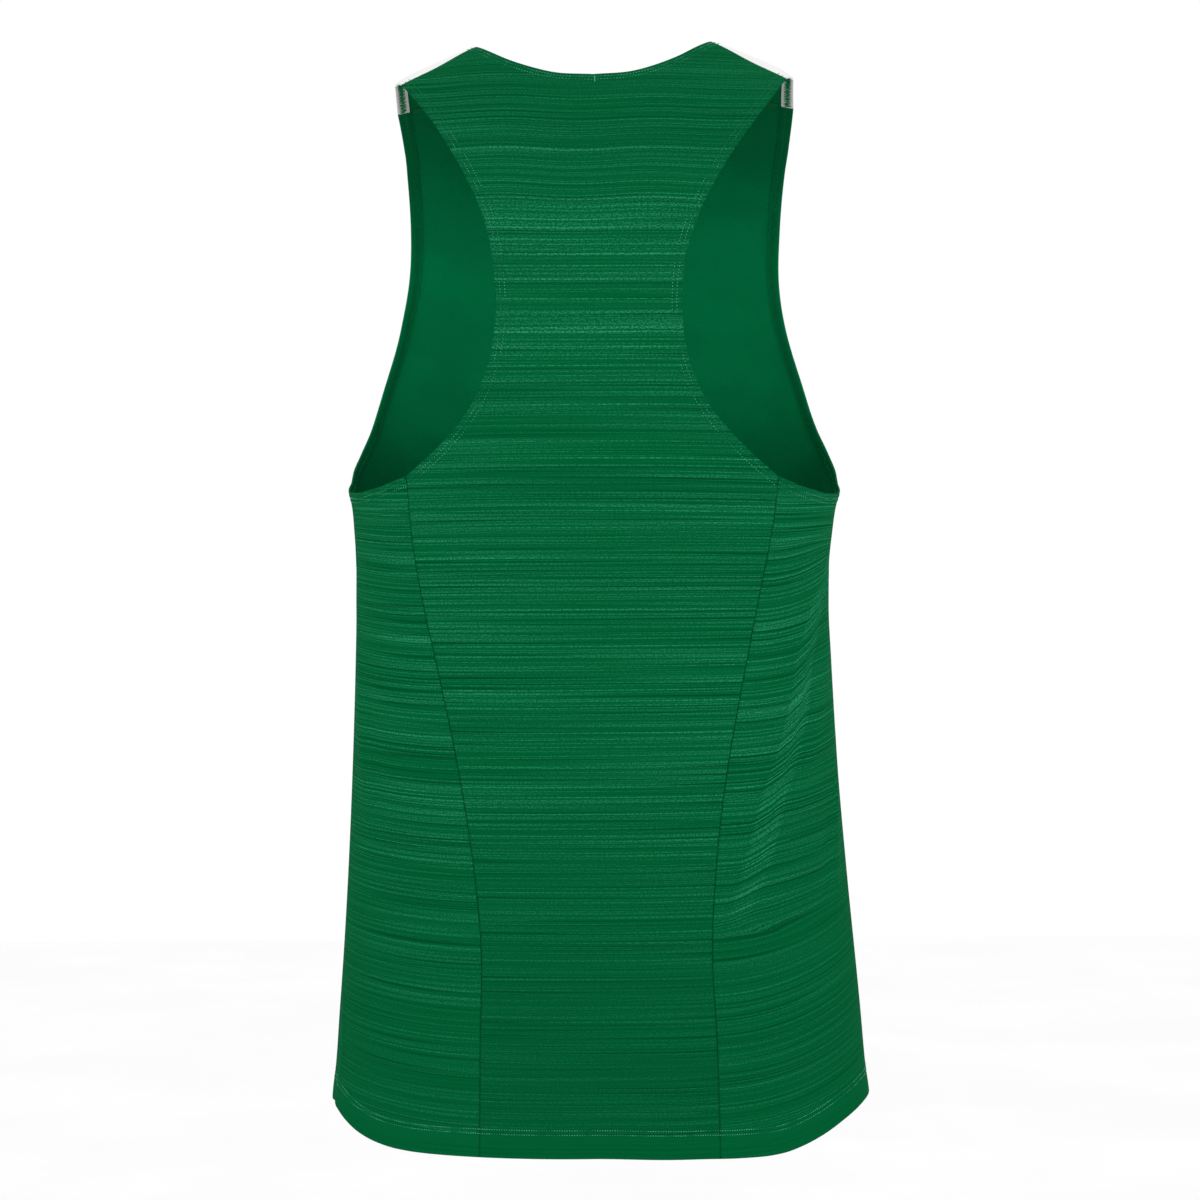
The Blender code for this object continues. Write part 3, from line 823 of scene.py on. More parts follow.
@dataclass(frozen=True)
class StreakedKnit:
    """Space-dyed polyester jersey, with fine light and dark lines along its rows, a painted highlight on the
    folds and painted shade low down and in the stitch rows.
    """

    name: str
    streaks: tuple[Streak, ...] = ()
    shadows: tuple[Streak, ...] = ()
    zones: tuple[Zone, ...] = ()
    base: Colour = (0.0002, 0.112, 0.033, 1.0)
    deep: Colour = (0.0001, 0.095, 0.0272, 1.0)
    light: Colour = (0.021, 0.268, 0.123, 1.0)
    dark: Colour = (0.0002, 0.06, 0.018, 1.0)
    top: float = -0.1
    bottom: float = -0.29
    low_shade: float = 0.13
    zone_soft: float = 0.0018

    def make(self) -> Material:
        """Lay out the material."""
        bench = NodeBench(self.name)
        along, across = bench.cloth()
        waver = bench.noise(along * 14.0, across * 9.0) - 0.5
        row = across + waver * 0.0006
        grain = bench.noise(along * 820.0, row * 1050.0, 20.0)
        dots = grain.between(0.42, 0.6)
        lightness, darkness = self._scattered(bench, along, row, across, dots)
        if self.streaks:
            placed = across + waver * 0.0005
            high = placed.between(self.top, self.top + 0.06, 1.0, 0.35)
            own = placed.between(self.bottom - 0.03, self.bottom + 0.02) * high
            fading = bench.noise(along * 11.0, row * 500.0, 33.0).between(0.25, 0.6, 0.5, 1.0)
            drawn = self._drawn(bench, placed, self.streaks) * (0.3 + 0.7 * dots) * fading
            broken = bench.noise(along * 3.0, row * 1000.0, 41.0).between(0.38, 0.58, 0.12, 1.35)
            speckled = self._speckled(bench, placed) * dots * broken
            lightness = lightness * (1.0 - 0.4 * own) + drawn * 1.65 + speckled * 0.4
            darkness = darkness * (1.0 - 0.3 * own) + self._drawn(bench, placed, self.shadows) * fading
        # Painted highlight: the light streaks are brightened where the knit's rows climb steeply, on the
        # flanks of the folds and creases.
        fold_highlight = bench.attribute(ROW_CLIMB).between(0.2, 0.5)
        lightness = lightness * (1.0 + fold_highlight * 1.1)
        edge = bench.attribute(FROM_EDGE)
        hem = edge.between(0.0135, 0.0155, 1.0, 0.0) * across.between(-0.66, -0.62, 1.0, 0.0)
        lightness = lightness * (1.0 - 0.75 * hem)
        darkness = darkness * (1.0 - 0.8 * hem)
        zone = bench.noise(along * 0.9, row * 34.0, 2.0).between(0.38, 0.62)
        plain = bench.mix(0.42 + 0.16 * zone, self.deep, self.base)
        streaked = bench.mix(lightness, plain, self.light)
        # Painted shade: darker towards the bottom, as strong as low_shade and weaker on the hem band; also
        # darker along the top of the rows.
        low_shade_and_top_darkening = across.between(-0.7, -0.42, self.low_shade, 0.0) * (1.0 - 0.5 * hem)
        low_shade_and_top_darkening = low_shade_and_top_darkening + across.between(-0.13, -0.09, 0.0, 0.17)
        lined = bench.mix(darkness + low_shade_and_top_darkening, streaked, self.dark)
        stitched = bench.noise(across * 520.0, along * 40.0, 6.0).between(0.35, 0.6, 0.45, 1.0)
        seam = bench.attribute(FROM_SEAM).between(0.0001, 0.0007, 0.8, 0.0) * stitched
        seam = seam * edge.between(0.008, 0.02, 0.2, 1.0)
        # The needles' two rows: a groove in the relief, and painted shade that darkens the colour along it.
        stitch_row_groove = edge.near(0.0034, 0.0009) + edge.near(0.0064, 0.0009)
        colour = bench.mix(seam + stitch_row_groove * 0.22, lined, self.dark)
        relief = dots * 0.35 + lightness * 0.5 - darkness * 0.4 - stitch_row_groove * 0.9
        return bench.dress(colour, 0.86 - lightness * 0.1, 0.006, relief, 0.0004)

    @staticmethod
    def _scattered(
        bench: NodeBench, along: Value, row: Value, across: Value, dots: Value
    ) -> tuple[Value, Value]:
        """Lines that fade in and out at random, calmer low down and near the top.

        Args:
            bench: Where the material is laid out.
            along: Place along the rows.
            row: Place across them, with a little waver.
            across: Place across them.
            dots: The knit's grain.

        Returns:
            How light and how dark the lines are.
        """
        upper = across.between(-0.33, -0.2, 0.95, 1.0) * across.between(-0.11, -0.03, 1.0, 0.8)
        strength = upper * across.between(-0.64, -0.48, 0.5, 1.0)
        zone = bench.noise(along * 1.1, row * 80.0, 2.0).between(0.35, 0.65)
        fine = bench.noise(along * 5.0, row * 1250.0, 4.0)
        thin = bench.noise(along * 2.5, row * 640.0, 9.0, 1.0)
        shade = bench.noise(along * 5.0, row * 760.0, 14.0, 1.0)
        lines = fine.between(0.48, 0.68) * (0.85 + 0.15 * zone) * (0.35 + 0.65 * dots) * 0.55
        bright = thin.between(0.53, 0.68) * (0.35 + 0.65 * dots)
        lightness = (lines + bright * 0.52 + zone * dots * 0.03) * strength
        darkness = shade.between(0.43, 0.3) * (0.4 + 0.55 * strength) + (1.0 - dots) * 0.14
        return lightness, darkness

    @staticmethod
    def _drawn(bench: NodeBench, place: Value, streaks: Sequence[Streak]) -> Value:
        """A table of lines along the rows."""
        marks = []
        for streak in streaks:
            middle = FIGURE.row_place(streak.height)
            half = streak.half_width * METRE
            marks.append(((middle - half, 0.0), (middle, streak.strength), (middle + half, 0.0)))
        return bench.ramps(place, marks)

    def _speckled(self, bench: NodeBench, place: Value) -> Value:
        """The evenly speckled bands."""
        marks = []
        for zone in self.zones:
            top, bottom = FIGURE.row_place(zone.top), FIGURE.row_place(zone.bottom)
            above, below = top + self.zone_soft, bottom - self.zone_soft
            marks.append(((above, 0.0), (top, zone.strength), (bottom, zone.strength), (below, 0.0)))
        return bench.ramps(place, marks)


@dataclass(frozen=True)
class PlainKnit:
    """The smooth inner face of the jersey, or a plain white jersey, with painted shade by height where hollow
    is set.
    """

    name: str
    base: Colour
    shade: Colour
    hollow: float = 0.0
    roughness: float = 0.88
    specular: float = 0.015

    def make(self) -> Material:
        """Lay out the material."""
        bench = NodeBench(self.name)
        along, across = bench.cloth()
        grain = bench.noise(along * 900.0, across * 900.0, 3.0)
        broad = bench.noise(along * 22.0, across * 30.0, 8.0, 2.0)
        place = bench.node("ShaderNodeTexCoord", {}, {}, "Object")
        height = bench.node("ShaderNodeSeparateXYZ", {}, {"Vector": place}, "Z")
        # Painted shade: darker towards the top and the bottom of the inside, lightest at chest height, as
        # strong as hollow.
        deep = height.between(-0.16, -0.04) + height.between(-0.31, -0.21, 0.85, 0.0)
        share = grain.between(0.35, 0.7) * 0.15 + broad.between(0.35, 0.65) * 0.15 + deep * self.hollow
        colour = bench.mix(share, self.base, self.shade)
        relief = grain * 0.6 + broad * 0.4
        return bench.dress(colour, self.roughness - grain * 0.08, self.specular, relief, 0.0003)


@dataclass(frozen=True)
class SpunThread:
    """Polyester sewing thread, darker near the shoulder tips as painted shade."""

    name: str
    base: Colour
    tip: Colour

    def make(self) -> Material:
        """Lay out the material."""
        bench = NodeBench(self.name)
        place = bench.node("ShaderNodeTexCoord", {}, {}, "Object")
        twist = bench.node("ShaderNodeTexNoise", {}, {"Vector": place, "Scale": 1400.0, "Detail": 1.0})
        tight = bench.node("ShaderNodeTexNoise", {}, {"Vector": place, "Scale": 110.0, "Detail": 1.0})
        out = bench.node("ShaderNodeSeparateXYZ", {}, {"Vector": place}, "X")
        height = bench.node("ShaderNodeSeparateXYZ", {}, {"Vector": place}, "Z")
        # Painted shade: near the shoulder tips the thread keeps its darker colour and loses the lighter one.
        tip = (out * out).between(0.0072, 0.01) * height.between(-0.105, -0.08)
        share = twist.between(0.35, 0.6, 0.4, 1.0) * tight.between(0.4, 0.6) * (1.0 - 0.9 * tip)
        colour = bench.mix(share, self.base, self.tip)
        return bench.dress(colour, 0.7 - twist * 0.15, 0.06, twist, 0.0002)


@dataclass(frozen=True)
class StudioPaint:
    """The matt pale floor."""

    name: str = "studio_floor"
    base: Colour = (0.97, 0.97, 0.97, 1.0)

    def make(self) -> Material:
        """Lay out the material."""
        bench = NodeBench(self.name)
        place = bench.node("ShaderNodeTexCoord", {}, {}, "Object")
        mottle = bench.node("ShaderNodeTexNoise", {}, {"Vector": place, "Scale": 3.0, "Detail": 2.0})
        pale = (0.99, 0.99, 0.99, 1.0)
        bench.feed(bench.shader.inputs["Base Color"], bench.mix(mottle.between(0.3, 0.7), self.base, pale))
        bench.shader.inputs["Roughness"].default_value = 0.9
        return bench.material


@dataclass
class Wardrobe:
    """Every finish, made once."""

    streaked: Material
    inner: Material
    white: Material
    band: Material
    white_band: Material
    back: Material
    needle: Material
    white_needle: Material
    looper: Material
    overlock: Material

    @classmethod
    def stock(cls) -> "Wardrobe":
        """Make the finishes."""
        upper_back = (LIGHT_STREAKS, DARK_STREAKS, SPECKLED_ZONES)
        finishes = {
            "streaked": StreakedKnit("streaked_knit"),
            "back": StreakedKnit("streaked_back_knit", *upper_back, low_shade=0.28),
            # The green inner faces are lighter than the outer knit: painted light standing in for the light
            # that reaches the inside of the cloth.
            "inner": PlainKnit("inner_knit", (0.0005, 0.235, 0.079, 1.0), (0.0002, 0.105, 0.034, 1.0), 0.85),
            "band": PlainKnit("hem_knit", (0.0004, 0.18, 0.06, 1.0), (0.0002, 0.092, 0.03, 1.0), 0.85),
            "white": PlainKnit("white_knit", (0.86, 0.86, 0.86, 1.0), (0.78, 0.775, 0.775, 1.0)),
            # Painted shade: a darker copy of the white knit for the turned-in yoke bands, which lie in
            # shadow.
            "white_band": PlainKnit("white_hem_knit", (0.61, 0.59, 0.59, 1.0), (0.49, 0.47, 0.47, 1.0)),
            "needle": SpunThread("needle_thread", (0.01, 0.22, 0.1, 1.0), (0.1, 0.5, 0.33, 1.0)),
            "white_needle": SpunThread("white_needle_thread", (0.8, 0.8, 0.8, 1.0), (0.9, 0.9, 0.9, 1.0)),
            "looper": SpunThread("looper_thread", (0.001, 0.19, 0.06, 1.0), (0.004, 0.23, 0.08, 1.0)),
            "overlock": SpunThread("overlock_thread", (0.001, 0.1, 0.033, 1.0), (0.004, 0.13, 0.05, 1.0)),
        }
        return cls(**{name: finish.make() for name, finish in finishes.items()})


class Workroom:
    """Ways to make and finish a piece that every sub-assembly uses."""

    @staticmethod
    def finish(
        name: str, shape: BMesh, materials: Sequence[Material], slot: str
    ) -> bpy.types.Object:
        """Turn a shape into a smooth object that rides on the garment.

        Args:
            name: The piece's name.
            shape: Its shape, which is freed.
            materials: Its materials, in the order of their slots.
            slot: Not used.

        Returns:
            The new object.
        """
        mesh = bpy.data.meshes.new(name)
        shape.to_mesh(mesh)
        shape.free()
        mesh.shade_smooth()
        mesh.set_sharp_from_angle(angle=np.radians(50))
        for material in materials:
            mesh.materials.append(material)
        piece = linked(name, mesh)
        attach(piece, BODY)
        return piece

    @staticmethod
    def grid(points: Array, places: Array, values: dict[str, Array]) -> tuple[BMesh, Any, Any]:
        """Lay a grid through a net of points.

        Args:
            points: The net, as rows of points.
            places: Each point's place in the knit.
            values: Numbers to keep on the mesh, by name.

        Returns:
            The shape and the layers that hold each vertex's row and column.
        """
        rows, columns = points.shape[:2]
        shape = bmesh.new()
        bmesh.ops.create_grid(shape, x_segments=columns - 1, y_segments=rows - 1, size=0.5)
        column_of = shape.verts.layers.int.new("column")
        row_of = shape.verts.layers.int.new("row")
        kept = {name: shape.verts.layers.float.new(name) for name in values}
        for vertex in shape.verts:
            column = round((vertex.co.x + 0.5) * (columns - 1))
            row = round((0.5 - vertex.co.y) * (rows - 1))
            vertex[column_of] = column
            vertex[row_of] = row
            vertex.co = points[row, column]
            for name, layer in kept.items():
                vertex[layer] = values[name][row, column]
        knit = shape.loops.layers.uv.new(CLOTH_UV)
        for face in shape.faces:
            for loop in face.loops:
                loop[knit].uv = places[loop.vert[row_of], loop.vert[column_of]]
        return shape, row_of, column_of

    @staticmethod
    def wall(shape: BMesh, inner: Array, row_of: Any, column_of: Any) -> None:
        """Give a grid its thickness, with the inner face in the second material slot."""
        outer_faces = set(shape.faces)
        grown = bmesh.ops.extrude_face_region(shape, geom=shape.faces[:], use_keep_orig=True)
        for part in grown["geom"]:
            if isinstance(part, bmesh.types.BMVert):
                part.co = inner[part[row_of], part[column_of]]
            elif isinstance(part, bmesh.types.BMFace) and part not in outer_faces:
                part.material_index = 1
        bmesh.ops.recalc_face_normals(shape, faces=shape.faces)

    @classmethod
    def strip(cls, rings: Array, places: Array) -> BMesh:
        """Close a run of rings into a solid strip.

        Args:
            rings: Points of the rings, as an array of stations by ring points.
            places: Each point's place in the knit.

        Returns:
            The shape.
        """
        closed = np.concatenate([rings, rings[:, :1]], axis=1)
        shape = cls.grid(closed, np.concatenate([places, places[:, :1]], axis=1), {})[0]
        bmesh.ops.remove_doubles(shape, verts=shape.verts, dist=1e-7)
        ends = [edge for edge in shape.edges if edge.is_boundary]
        bmesh.ops.holes_fill(shape, edges=ends, sides=0)
        bmesh.ops.recalc_face_normals(shape, faces=shape.faces)
        return shape

    @classmethod
    def thread(
        cls,
        name: str,
        lines: Sequence[Array],
        radius: float,
        material: Material,
        slot: str,
        taper: Sequence[float] = (),
    ) -> bpy.types.Object:
        """Make thread that runs along lines of points.

        Args:
            name: The piece's name.
            lines: Arrays of points.
            radius: The thread's radius in metres.
            material: Its finish.
            slot: Passed on to finish, which does not use it.
            taper: The radius at each point of a line, as a share, where it isn't full.

        Returns:
            The thread as a mesh object.
        """
        curve = bpy.data.curves.new(name, "CURVE")
        curve.dimensions = "3D"
        curve.bevel_depth = radius
        curve.bevel_resolution = 0
        curve.use_fill_caps = True
        for line in lines:
            spline = curve.splines.new("POLY")
            spline.points.add(len(line) - 1)
            flat = np.concatenate([line, np.ones((len(line), 1))], axis=1)
            spline.points.foreach_set("co", flat.ravel())
            if taper:
                spline.points.foreach_set("radius", taper)
        drawn = linked(name + "_line", curve)
        bpy.context.view_layer.update()
        mesh = bpy.data.meshes.new_from_object(drawn)
        bpy.data.objects.remove(drawn, do_unlink=True)
        shape = bmesh.new()
        shape.from_mesh(mesh)
        bpy.data.meshes.remove(mesh)
        return cls.finish(name, shape, [material], slot)


@dataclass
class Seamline:
    """A run of the cloth's face beside an edge, as lines at distances in from it."""

    distances: tuple[float, ...]
    points: Array
    normals: Array
    places: Array

    def at(self, distance: float) -> tuple[Array, Array, Array]:
        """Points, normals and knit places at one distance in."""
        i = int(np.clip(np.searchsorted(self.distances, distance) - 1, 0, len(self.distances) - 2))
        low, high = self.distances[i], self.distances[i + 1]
        share = (distance - low) / (high - low)
        grids = (self.points, self.normals, self.places)
        pick = [grid[i] * (1 - share) + grid[i + 1] * share for grid in grids]
        return pick[0], pick[1] / np.linalg.norm(pick[1], axis=-1, keepdims=True), pick[2]

    def strip(self, ring: Sequence[tuple[float, float]]) -> BMesh:
        """A solid strip along the lines, from a ring of distances in and depths under the face."""
        rings = []
        places = []
        for distance, deep in ring:
            point, normal, place = self.at(distance)
            rings.append(point - normal * deep * METRE)
            places.append(place)
        return Workroom.strip(np.array(rings).transpose(1, 0, 2), np.array(places).transpose(1, 0, 2))

    @classmethod
    def on_body(cls, pairs: Array, inside: Round, distances: Sequence[float]) -> "Seamline":
        """Step in from an edge of a body panel.

        Args:
            pairs: The edge as (angle, height) pairs.
            inside: A point on the panel, towards which the steps go.
            distances: Distances in, in millimetres, the first of them 0.

        Returns:
            The lines.
        """
        pairs = pairs.copy()
        lines = [pairs]
        for step in np.diff(distances):
            parts = max(1, int(np.ceil(step / 2.0)))
            for _ in range(parts):
                pairs = cls.stepped(pairs, inside, step / parts)
            lines.append(pairs)
        net = np.array(lines)
        angle, height = net[..., 0], net[..., 1]
        return cls(
            tuple(distances),
            FIGURE.point(angle, height),
            FIGURE.normal(angle, height),
            FIGURE.cloth_place(angle, height),
        )

    @staticmethod
    def stepped(pairs: Array, inside: Round, step: float) -> Array:
        """One step square to a line of pairs, towards the inside."""
        along = np.gradient(pairs, axis=0)
        turn, rise = FIGURE.slopes(pairs[:, 0], pairs[:, 1])
        tangent = turn * along[:, :1] + rise * along[:, 1:]
        tangent /= np.linalg.norm(tangent, axis=1, keepdims=True)
        normal = np.cross(rise, turn)
        normal /= np.linalg.norm(normal, axis=1, keepdims=True)
        way = np.cross(normal, tangent)
        middle = len(pairs) // 2
        goal = FIGURE.point(np.radians(inside.angle), inside.height)
        if np.dot(way[middle], goal - FIGURE.point(*pairs[middle])) < 0:
            way = -way
        a = np.sum(turn * turn, axis=1)
        b = np.sum(turn * rise, axis=1)
        c = np.sum(rise * rise, axis=1)
        p = np.sum(way * turn, axis=1)
        q = np.sum(way * rise, axis=1)
        spread = a * c - b * b
        moved = np.stack([(c * p - b * q) / spread, (a * q - b * p) / spread], axis=1)
        return pairs + moved * step * METRE


@dataclass
class TurnedEdge:
    """An edge turned in once and held down by two needles outside and a looper inside."""

    name: str
    lines: Seamline
    cloth: tuple[Material, Material]
    slot: str = GREEN
    layer: float = 0.8
    wall: float = 0.9
    zigzag_pitch: float = 1.5
    zigzag_out: float = 0.3
    zigzag_in: float = 0.3
    zigzag_uneven: float = 0.2
    thread: float = 0.27

    @property
    def depth(self) -> float:
        """How far the edge is turned in."""
        return self.lines.distances[-1]

    @property
    def rows(self) -> tuple[float, ...]:
        """How far in the needles' two rows are."""
        return self.lines.distances[-3:-1]

    def build(self) -> bpy.types.Object:
        """Make the turned-in layer, with its rounded fold."""
        full = self.wall + self.layer
        radius = full / 2
        fold = [
            (radius * (1 - np.sin(turn)), radius * (1 - np.cos(turn)))
            for turn in np.linspace(0, np.pi, 7)
        ]
        reach = np.linspace(radius, self.depth, 5)
        inward = [(distance, full) for distance in reach[1:-1]]
        rim = [(self.depth - 0.25, full), (self.depth, full - 0.3), (self.depth, self.wall + 0.02)]
        outward = [(distance, self.wall + 0.02) for distance in reach[-2::-1]]
        shape = self.lines.strip(fold + inward + rim + outward)
        count = len(fold)
        ring_of = shape.verts.layers.int["column"]
        for face in shape.faces:
            rings_of_face = [vertex[ring_of] for vertex in face.verts]
            face.material_index = 0 if max(rings_of_face) < count // 2 + 1 else 1
        piece = Workroom.finish(self.name, shape, self.cloth, self.slot)
        LOG.info("%s: turned edge %g mm deep, fold of %d points", self.name, self.depth, count)
        return piece

    def needle_line(self, row: float) -> tuple[Array, Array]:
        """Points and normals of one needle's row on the outer face."""
        point, normal, _ = self.lines.at(row)
        return point, normal

    def looper_line(self) -> Array:
        """The looper's zigzag over the turned-in layer."""
        deep = (self.wall + self.layer + self.thread) * METRE
        lanes = []
        for distance in np.linspace(self.rows[0] - self.zigzag_out, self.rows[1] + self.zigzag_in, 4):
            point, out, _ = self.lines.at(distance)
            lanes.append(point - out * deep)
        length = run_length(lanes[0]) / METRE
        stops = np.arange(0.5, length[-1] - 0.5, self.zigzag_pitch / 6)
        stops += self.zigzag_uneven * np.sin(stops * 2.3) * np.sin(stops * 0.9)
        placed = np.array([along_line(stops, length, lane) for lane in lanes])
        steps = np.arange(len(stops))
        return placed[np.array([0, 1, 2, 3, 2, 1])[steps % 6], steps]


@dataclass
class Stitching:
    """Rows of stitches that show on the outer face."""

    name: str
    material: Material
    slot: str
    pitch: float = 2.1
    length: float = 1.35
    radius: float = 0.24
    proud: float = 0.03
    dip: float = -0.1
    tip: float = 0.35

    def build(self, rows: Sequence[tuple[Array, Array]]) -> bpy.types.Object:
        """Sew the rows.

        Args:
            rows: Points and normals along each row.

        Returns:
            The stitches, as one object.
        """
        lines = [stitch for points, normals in rows for stitch in self._stitches(points, normals)]
        LOG.info("%s: %d stitches", self.name, len(lines))
        taper = (self.tip, 1.0, 1.0, self.tip)
        return Workroom.thread(self.name, lines, self.radius * METRE, self.material, self.slot, taper)

    def _stitches(self, points: Array, normals: Array) -> Array:
        """The four points of each stitch along one row, whose ends dip into the cloth."""
        length = run_length(points) / METRE
        middles = np.arange(self.pitch / 2, length[-1], self.pitch)
        stops = middles[:, None] + self.length * np.array([-0.5, -0.25, 0.25, 0.5])
        lift = np.array([self.dip, self.proud, self.proud, self.dip])[:, None]
        return along_line(stops, length, points) + along_line(stops, length, normals) * lift * METRE


@dataclass
class CutPiece:
    """One cut piece of cloth as a thin shell, with a groove at its seams."""

    node: str
    flat: tuple[float, float]
    area: float
    materials: tuple[Material, Material]
    slot: str
    wall: float = 0.9
    trim: float = 0.8
    gap: float = 0.1
    groove: float = 0.6
    groove_width: float = 0.8

    def build(self, net: Array, free: Array, sewn: Array, places_from: float) -> bpy.types.Object:
        """Make the shell.

        Args:
            net: The piece's (angle, height) pairs, as a grid.
            free: Marks the points of edges that are turned and not sewn to another piece.
            sewn: Marks the points of seams.
            places_from: Offset along the rows that gives each piece its own streaks.

        Returns:
            The shell, which replaces the CAD node of the same name.
        """
        angle, height = net[..., 0], net[..., 1]
        points = FIGURE.point(angle, height)
        normals = FIGURE.normal(angle, height)
        places = FIGURE.cloth_place(angle, height) + np.array([places_from, 0.0])
        return self.shell(points, normals, places, free, sewn, FIGURE.row_climb(angle, height))

    def shell(
        self, points: Array, normals: Array, places: Array, free: Array, sewn: Array, climb: Array
    ) -> bpy.types.Object:
        """Make the shell from points that are already placed."""
        from_edge = self._distance(points, free)
        from_seam = self._distance(points, sewn)
        moved = self._drawn_back(points, free, self.trim)
        moved = self._drawn_back(moved, sewn & ~free, self.gap)
        dip = self.groove * np.exp(-((from_seam / METRE / self.groove_width) ** 2))
        outer = moved - normals * (dip * METRE)[..., None]
        inner = outer - normals * self.wall * METRE
        values = {FROM_EDGE: from_edge, FROM_SEAM: from_seam, ROW_CLIMB: climb}
        shape, row_of, column_of = Workroom.grid(outer, places, values)
        Workroom.wall(shape, inner, row_of, column_of)
        piece = Workroom.finish(self.node + "_cloth", shape, self.materials, self.slot)
        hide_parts(self.node)
        LOG.info("%s: %d faces", piece.name, len(piece.data.polygons))
        return piece

    def hang(self, edges: list[TurnedEdge]) -> list[TurnedEdge]:
        """Make the turned edges, and give them back."""
        bands = [edge.build() for edge in edges]
        return edges

    @staticmethod
    def _distance(points: Array, marked: Array) -> Array:
        """Distance of each point from the marked edges, in metres."""
        if not marked.any():
            return np.full(points.shape[:2], 1.0)
        samples = []
        for line, _ in BORDERS:
            on = marked[line]
            edge = points[line]
            for i in np.flatnonzero(on[:-1] & on[1:]):
                for share in (0.0, 0.25, 0.5, 0.75, 1.0):
                    samples.append(edge[i] * (1 - share) + edge[i + 1] * share)
        tree = KDTree(len(samples))
        for i, sample in enumerate(samples):
            tree.insert(sample, i)
        tree.balance()
        flat = points.reshape(-1, 3)
        return np.array([tree.find(point)[2] for point in flat]).reshape(points.shape[:2])

    @staticmethod
    def _drawn_back(points: Array, marked: Array, amount: float) -> Array:
        """The points with each marked edge moved in by an amount."""
        moved = points.copy()
        for edge, inside in BORDERS:
            way = points[inside] - points[edge]
            way /= np.maximum(np.linalg.norm(way, axis=-1, keepdims=True), 1e-9)
            on = marked[edge]
            if np.count_nonzero(on) < 2:
                continue
            moved[edge] += METRE * amount * way * on[..., None]
        return moved


class Net:
    """Helpers for the grids of the cut pieces."""

    close_lines = (0.0, 0.2, 0.5)

    @classmethod
    def closer(cls, net: Array, axis: int) -> Array:
        """Add lines close to both edges of a net along one axis."""
        count = net.shape[axis] - 1
        inner = np.arange(1, count)
        wanted = np.concatenate([cls.close_lines, inner, [count - c for c in reversed(cls.close_lines)]])
        low = np.clip(np.floor(wanted).astype(int), 0, count - 1)
        share = wanted - low
        shape = [1] * net.ndim
        shape[axis] = len(wanted)
        share = share.reshape(shape)
        return np.take(net, low, axis=axis) * (1 - share) + np.take(net, low + 1, axis=axis) * share

    @classmethod
    def closed_in(cls, net: Array) -> Array:
        """Add lines close to all four edges of a net."""
        return cls.closer(cls.closer(net, 0), 1)


